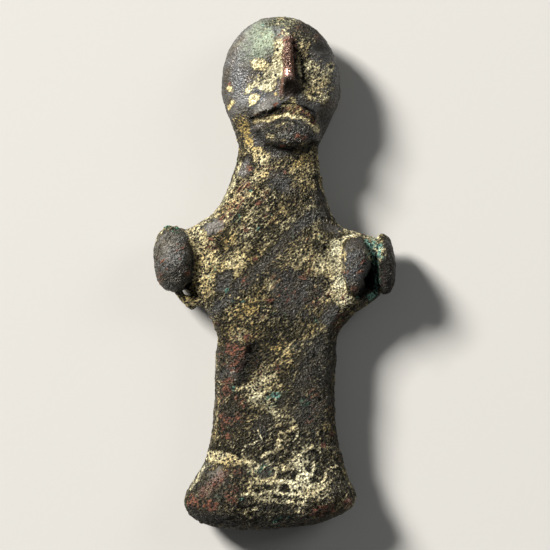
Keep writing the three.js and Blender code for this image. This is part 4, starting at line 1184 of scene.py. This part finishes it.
def corroded_bronze(looks):
    """Cast tin bronze, corroded in soil: a dark blue-grey and olive skin with a dull sheen, bright earth in
    its hollows, red cuprite where it has flaked, green malachite, and a nose worn to coppery metal."""
    material = bpy.data.materials.new("cast_bronze_corroded_in_soil")
    material.use_nodes = True
    tree = material.node_tree
    tree.nodes.clear()
    held = {
        name: add(tree, "ShaderNodeAttribute", attribute_name=name).outputs["Fac"]
        for name in ("warmth", "turquoise", "bloom", "copper", "shade", "calm", "hollow")
    }
    pattern = patterns_of(tree, looks)
    fading = {"Value": held["calm"], "To Min": 1.0, "To Max": 0.08}
    rough = add(tree, "ShaderNodeMapRange", fading).outputs["Result"]

    # How far each finish covers the skin
    pits = pits_of(tree, looks, pattern, rough)
    thickness, earth = cover_of(tree, "earth", pattern["grit"], EARTH_SPREAD, soft=0.13)
    _, red = cover_of(tree, "cuprite", pattern["flecks"], FLECK_SPREAD, soft=0.16)
    _, green = cover_of(tree, "malachite", pattern["flecks"], FLECK_SPREAD, soft=0.2)
    patchy = {"Value": pattern["grains"], "To Min": 0.5, "To Max": 1.0}
    haze = add(tree, "ShaderNodeMapRange", patchy).outputs["Result"]
    bloom = add(tree, "ShaderNodeMath", {0: held["bloom"], 1: haze}, operation="MULTIPLY").outputs[0]
    thin = 0.5 + EARTH_SPREAD / 2
    depths = {"Value": thickness, "From Min": thin - 0.12, "From Max": thin + 0.55}
    amount = add(tree, "ShaderNodeMapRange", depths).outputs["Result"]

    # Painted shade darkens hollows and shaded nooks, but thick earth fills a hollow
    low = {"Value": held["hollow"], "From Min": 0.05, "From Max": 0.9, "To Max": 0.72}
    hollow_shade = add(tree, "ShaderNodeMapRange", low).outputs["Result"]
    filling = add(tree, "ShaderNodeMath", {0: earth, 1: amount}, operation="MULTIPLY").outputs[0]
    left = {"Value": filling, "To Min": 1.0, "To Max": 0.3}
    empty = add(tree, "ShaderNodeMapRange", left).outputs["Result"]
    hollow_shade = add(tree, "ShaderNodeMath", {0: hollow_shade, 1: empty}, operation="MULTIPLY").outputs[0]
    nook_shade = add(tree, "ShaderNodeMath", {0: held["shade"], 1: 0.88}, operation="MULTIPLY").outputs[0]

    # The finishes in the order that they lie on each other, then dirt and painted shade in pits, and painted
    # shade in hollows and nooks
    colours = finish_colours(tree, looks, held, pattern, amount)
    colour = colours["skin"]
    dirt_and_shade = opaque(linear(DIRT_AND_SHADE))
    for share, finish in (
        (bloom, colours["bloom"]), (held["copper"], opaque(looks.worn_copper)), (earth, colours["earth"]),
        (red, colours["cuprite"]), (green, colours["malachite"]), (pits, dirt_and_shade), (hollow_shade, dirt_and_shade), (nook_shade, dirt_and_shade),
    ):
        parts = {FACTOR: share, FIRST_COLOUR: colour, SECOND_COLOUR: finish}
        colour = add(tree, "ShaderNodeMix", parts, data_type="RGBA").outputs[MIXED_COLOUR]
    high = {"Value": held["hollow"], "From Min": 0.0, "From Max": -0.9}
    crests = add(tree, "ShaderNodeMapRange", high).outputs["Result"]
    colour = dappled(tree, colour, crests, dark=1.0, light=1.3)

    # Bare skin and worn copper are metallic with a dull polish; earth, malachite and bloom are dry minerals
    rusty = add(tree, "ShaderNodeMapRange", {"Value": red, "To Max": 0.6}).outputs["Result"]
    dry = earth
    for cover in (green, bloom, rusty):
        dry = add(tree, "ShaderNodeMath", {0: dry, 1: cover}, operation="MAXIMUM").outputs[0]
    metals = {"Value": held["copper"], "To Min": looks.skin_metal, "To Max": COPPER_METAL}
    metallic = add(tree, "ShaderNodeMapRange", metals).outputs["Result"]
    metallic = add(tree, "ShaderNodeMix", {FACTOR: dry, FIRST: metallic, SECOND: 0.0}).outputs[0]
    dull, bright = looks.skin_roughness + 0.14, looks.skin_roughness - 0.14
    sheens = {"Value": pattern["specks"], "To Min": dull, "To Max": bright}
    roughness = add(tree, "ShaderNodeMapRange", sheens).outputs["Result"]
    for share, surface in ((held["copper"], COPPER_ROUGHNESS), (dry, DRY_ROUGHNESS)):
        parts = {FACTOR: share, FIRST: roughness, SECOND: surface}
        roughness = add(tree, "ShaderNodeMix", parts).outputs[0]

    # Real grains are 0.05 to 0.1 mm across and would be lost between the picture's pixels of 0.14 mm. They
    # are drawn coarser, 0.24 to 0.28 mm across and up to about 0.33 mm high, so that they show
    parts = {0: pattern["fine grit"], 1: 0.55, 2: pattern["grains"]}
    height = add(tree, "ShaderNodeMath", parts, operation="MULTIPLY_ADD").outputs[0]
    parts = {0: pattern["specks"], 1: 0.3, 2: height}
    height = add(tree, "ShaderNodeMath", parts, operation="MULTIPLY_ADD").outputs[0]
    height = add(tree, "ShaderNodeMath", {0: height, 1: pits}, operation="SUBTRACT").outputs[0]
    height = add(tree, "ShaderNodeMath", {0: height, 1: rough}, operation="MULTIPLY").outputs[0]
    bump = add(tree, "ShaderNodeBump", {"Height": height, "Strength": 1.0, "Distance": looks.bump_height})
    normal = bump.outputs["Normal"]
    sockets = {"Base Color": colour, "Metallic": metallic, "Roughness": roughness, "Normal": normal}
    shader = add(tree, "ShaderNodeBsdfPrincipled", sockets)
    add(tree, "ShaderNodeOutputMaterial", {"Surface": shader.outputs["BSDF"]})
    return material


def pale_floor(looks):
    """Matt painted board: an even pale grey that takes soft shadows."""
    material = bpy.data.materials.new("matt_painted_board")
    material.use_nodes = True
    tree = material.node_tree
    tree.nodes.clear()
    where = add(tree, "ShaderNodeTexCoord").outputs["Object"]
    tooth = add(tree, "ShaderNodeTexNoise", {"Vector": where, "Scale": 1 / FLOOR_TOOTH, "Detail": 2.0})
    height = {"Height": tooth.outputs["Fac"], "Strength": 0.15, "Distance": FLOOR_TOOTH_HEIGHT}
    bump = add(tree, "ShaderNodeBump", height)
    shader = add(tree, "ShaderNodeBsdfPrincipled", {
        "Base Color": opaque(looks.floor_colour), "Roughness": 0.85, "Normal": bump.outputs["Normal"],
    })
    add(tree, "ShaderNodeOutputMaterial", {"Surface": shader.outputs["BSDF"]})
    return material


# Settings
def colour_setting(name, description, hex_colour):
    """A colour property with its default given as a hex value."""
    default = linear(hex_colour)
    return bpy.props.FloatVectorProperty(
        name=name, description=description, subtype="COLOR", size=3, min=0, max=1, default=default
    )


def length_setting(name, description, default):
    """A length property in metres."""
    return bpy.props.FloatProperty(
        name=name, description=description, default=default, min=0, unit="LENGTH", precision=5
    )


def share_setting(name, description, default):
    """A property from 0 to 1."""
    return bpy.props.FloatProperty(
        name=name, description=description, default=default, min=0, max=1, subtype="FACTOR"
    )


class VotiveFigureLooks(bpy.types.PropertyGroup):
    """Sizes and colours of the figure's corroded skin."""

    mesh_spacing: length_setting("Mesh spacing", "Distance between the points of the fine casting", 0.00013)
    faces: bpy.props.IntProperty(
        name="Faces", description="Most triangles in the skin", default=190000, min=1000
    )
    relief: bpy.props.FloatProperty(
        name="Relief", description="Strength of lumps, grain and pits, 1 as found", default=1, min=0, max=3
    )
    grit_size: length_setting("Grit size", "Size of the flecks of earth", 0.00028)
    grain_size: length_setting("Grain size", "Size of the finest grains", 0.00028)
    speck_size: length_setting("Speck size", "Size of light and dark specks on every finish", 0.00024)
    hole_spacing: length_setting("Hole spacing", "Distance between the dark pits", 0.00044)
    bump_height: length_setting("Grain height", "Height of grains too fine for the mesh", 0.00033)
    skin_metal: share_setting("Metal", "How metallic the dark skin looks", 0.6)
    skin_roughness: share_setting("Roughness", "Roughness of the dark skin", 0.46)
    olive_skin: colour_setting("Olive skin", "Rough bronze with a film of soil", "#38331f")
    grey_skin: colour_setting("Grey skin", "Blue-grey corroded bronze", "#535558")
    brown_skin: colour_setting("Brown skin", "Brown corroded bronze", "#4b453d")
    thin_earth: colour_setting("Thin earth", "Film of pale earth", "#504a2a")
    cream_earth: colour_setting("Cream earth", "Thick pale dry earth", "#fbf4cc")
    dark_earth: colour_setting("Dark earth", "Film of brown earth", "#42361a")
    ochre_earth: colour_setting("Ochre earth", "Thick yellow-brown dry earth", "#d4b76c")
    dark_cuprite: colour_setting("Dark cuprite", "Deep red copper oxide", "#432418")
    light_cuprite: colour_setting("Light cuprite", "Brownish red copper oxide", "#8e5b40")
    malachite: colour_setting("Malachite", "Green copper carbonate", "#497a60")
    turquoise: colour_setting("Turquoise", "Pale blue-green copper carbonate", "#86b5a6")
    # Painted sheen and painted light on smooth skin, as well as a pale grey film
    grey_sheen_and_film: colour_setting("Grey bloom", "Pale grey film on smooth skin", "#a5a198")
    bloom: colour_setting("Bloom", "Pale grey-green haze on the brow", "#aab89c")
    worn_copper: colour_setting("Worn copper", "Metal of the rubbed nose", "#b48d7e")


class VotiveStageLooks(bpy.types.PropertyGroup):
    """Sizes, light and colours of the studio."""

    camera_height: length_setting("Camera height", "Height of the camera over the floor", 0.6)
    frame_width: length_setting("Frame width", "Width of what the camera sees at the figure", 0.0749)
    floor_size: length_setting("Floor size", "Side of the square floor", 3.0)
    floor_colour: colour_setting("Floor", "Pale board under the figure", "#bfbdb8")
    key_power: bpy.props.FloatProperty(
        name="Key light", description="Power from the upper left", default=160.0, unit="POWER"
    )
    fill_power: bpy.props.FloatProperty(
        name="Fill light", description="Power from the upper right", default=2.2, unit="POWER"
    )
    sky_strength: bpy.props.FloatProperty(
        name="Room light", description="Even light from all round", default=0.11, min=0
    )


class CastVotiveFigure(bpy.types.Operator):
    """Corrode the casting's skin and lay its finish on it"""

    bl_idname = "votive.cast_figure"
    bl_label = "Cast the figure"

    def execute(self, context):
        looks = context.scene.votive_figure_looks
        mesh = skin_mesh(looks.mesh_spacing, looks.relief, looks.faces)
        store_channels(mesh)
        mesh.name = "votive_figure_skin"
        mesh.materials.clear()
        mesh.materials.append(corroded_bronze(looks))
        mesh.shade_smooth()
        piece = bpy.data.objects.new("votive_figure_skin", mesh)
        context.scene.collection.objects.link(piece)
        if len(mesh.polygons) > MOST_TRIANGLES:
            raise RuntimeError(f"the skin has more than {MOST_TRIANGLES} triangles")
        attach(piece, "root")
        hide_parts("votive_figure")
        return {"FINISHED"}


def area_light(context, name, place, target, size, power, colour):
    """A soft square light that looks at the target."""
    lamp = bpy.data.lights.new(name, "AREA")
    lamp.size = size
    lamp.energy = power
    lamp.color = colour
    light = bpy.data.objects.new(name, lamp)
    light.location = place
    light.rotation_euler = (Vector(target) - Vector(place)).to_track_quat("-Z", "Y").to_euler()
    context.scene.collection.objects.link(light)


class SetVotiveStage(bpy.types.Operator):
    """Lay the floor, hang the lights and set the camera over the figure"""

    bl_idname = "votive.set_stage"
    bl_label = "Set the stage"

    def execute(self, context):
        looks = context.scene.votive_stage_looks
        half = looks.floor_size / 2
        board = bpy.data.meshes.new("floor")
        corners = [(-half, -half, 0), (half, -half, 0), (half, half, 0), (-half, half, 0)]
        board.from_pydata(corners, [], [(0, 1, 2, 3)])
        board.materials.append(pale_floor(looks))
        floor = bpy.data.objects.new("floor", board)
        context.scene.collection.objects.link(floor)

        figure = (0, 0, 0.005)
        warm, cool = (1.0, 0.98, 0.95), (0.95, 0.98, 1.0)
        area_light(context, "key_light", (-1.63, 1.32, 1.28), figure, 0.6, looks.key_power, warm)
        area_light(context, "fill_light", (0.8, 0.5, 0.6), figure, 0.5, looks.fill_power, cool)

        world = bpy.data.worlds.new("soft_room")
        world.use_nodes = True
        backdrop = world.node_tree.nodes["Background"]
        backdrop.inputs["Color"].default_value = (0.9, 0.92, 0.95, 1)
        backdrop.inputs["Strength"].default_value = looks.sky_strength
        context.scene.world = world
        context.scene.view_settings.view_transform = "Standard"

        lens = bpy.data.cameras.new("overhead_camera")
        camera = bpy.data.objects.new("overhead_camera", lens)
        aside = (PHOTO_SIDE / 2 - MIDDLE_COLUMN) * PIXEL
        along = (MIDDLE_ROW - PHOTO_SIDE / 2) * PIXEL
        frame_centre = Vector((aside, along, SHARP_HEIGHT)) * MILLIMETRE
        camera.location = (frame_centre.x, frame_centre.y, looks.camera_height)
        lens.lens = lens.sensor_width * (looks.camera_height - frame_centre.z) / looks.frame_width
        lens.clip_start = 0.01
        context.scene.collection.objects.link(camera)
        context.scene.camera = camera
        return {"FINISHED"}


class VotiveFigurePanel(bpy.types.Panel):
    """The figure's settings and operators in the sidebar"""

    bl_label = "Votive figure"
    bl_idname = "VIEW3D_PT_votive_figure"
    bl_space_type = "VIEW_3D"
    bl_region_type = "UI"
    bl_category = "Votive figure"

    def draw(self, context):
        for operator, group in (
            ("votive.cast_figure", context.scene.votive_figure_looks),
            ("votive.set_stage", context.scene.votive_stage_looks),
        ):
            box = self.layout.box()
            for name in group.__annotations__:
                box.prop(group, name)
            box.operator(operator)


CLASSES = (VotiveFigureLooks, VotiveStageLooks, CastVotiveFigure, SetVotiveStage, VotiveFigurePanel)


def register():
    for each in CLASSES:
        bpy.utils.register_class(each)
    bpy.types.Scene.votive_figure_looks = bpy.props.PointerProperty(type=VotiveFigureLooks)
    bpy.types.Scene.votive_stage_looks = bpy.props.PointerProperty(type=VotiveStageLooks)


def unregister():
    del bpy.types.Scene.votive_stage_looks
    del bpy.types.Scene.votive_figure_looks
    for each in reversed(CLASSES):
        bpy.utils.unregister_class(each)


def main():
    """Builds the figure and its stage."""
    register()
    bpy.ops.votive.cast_figure()
    bpy.ops.votive.set_stage()


if __name__ == "__main__":
    main()
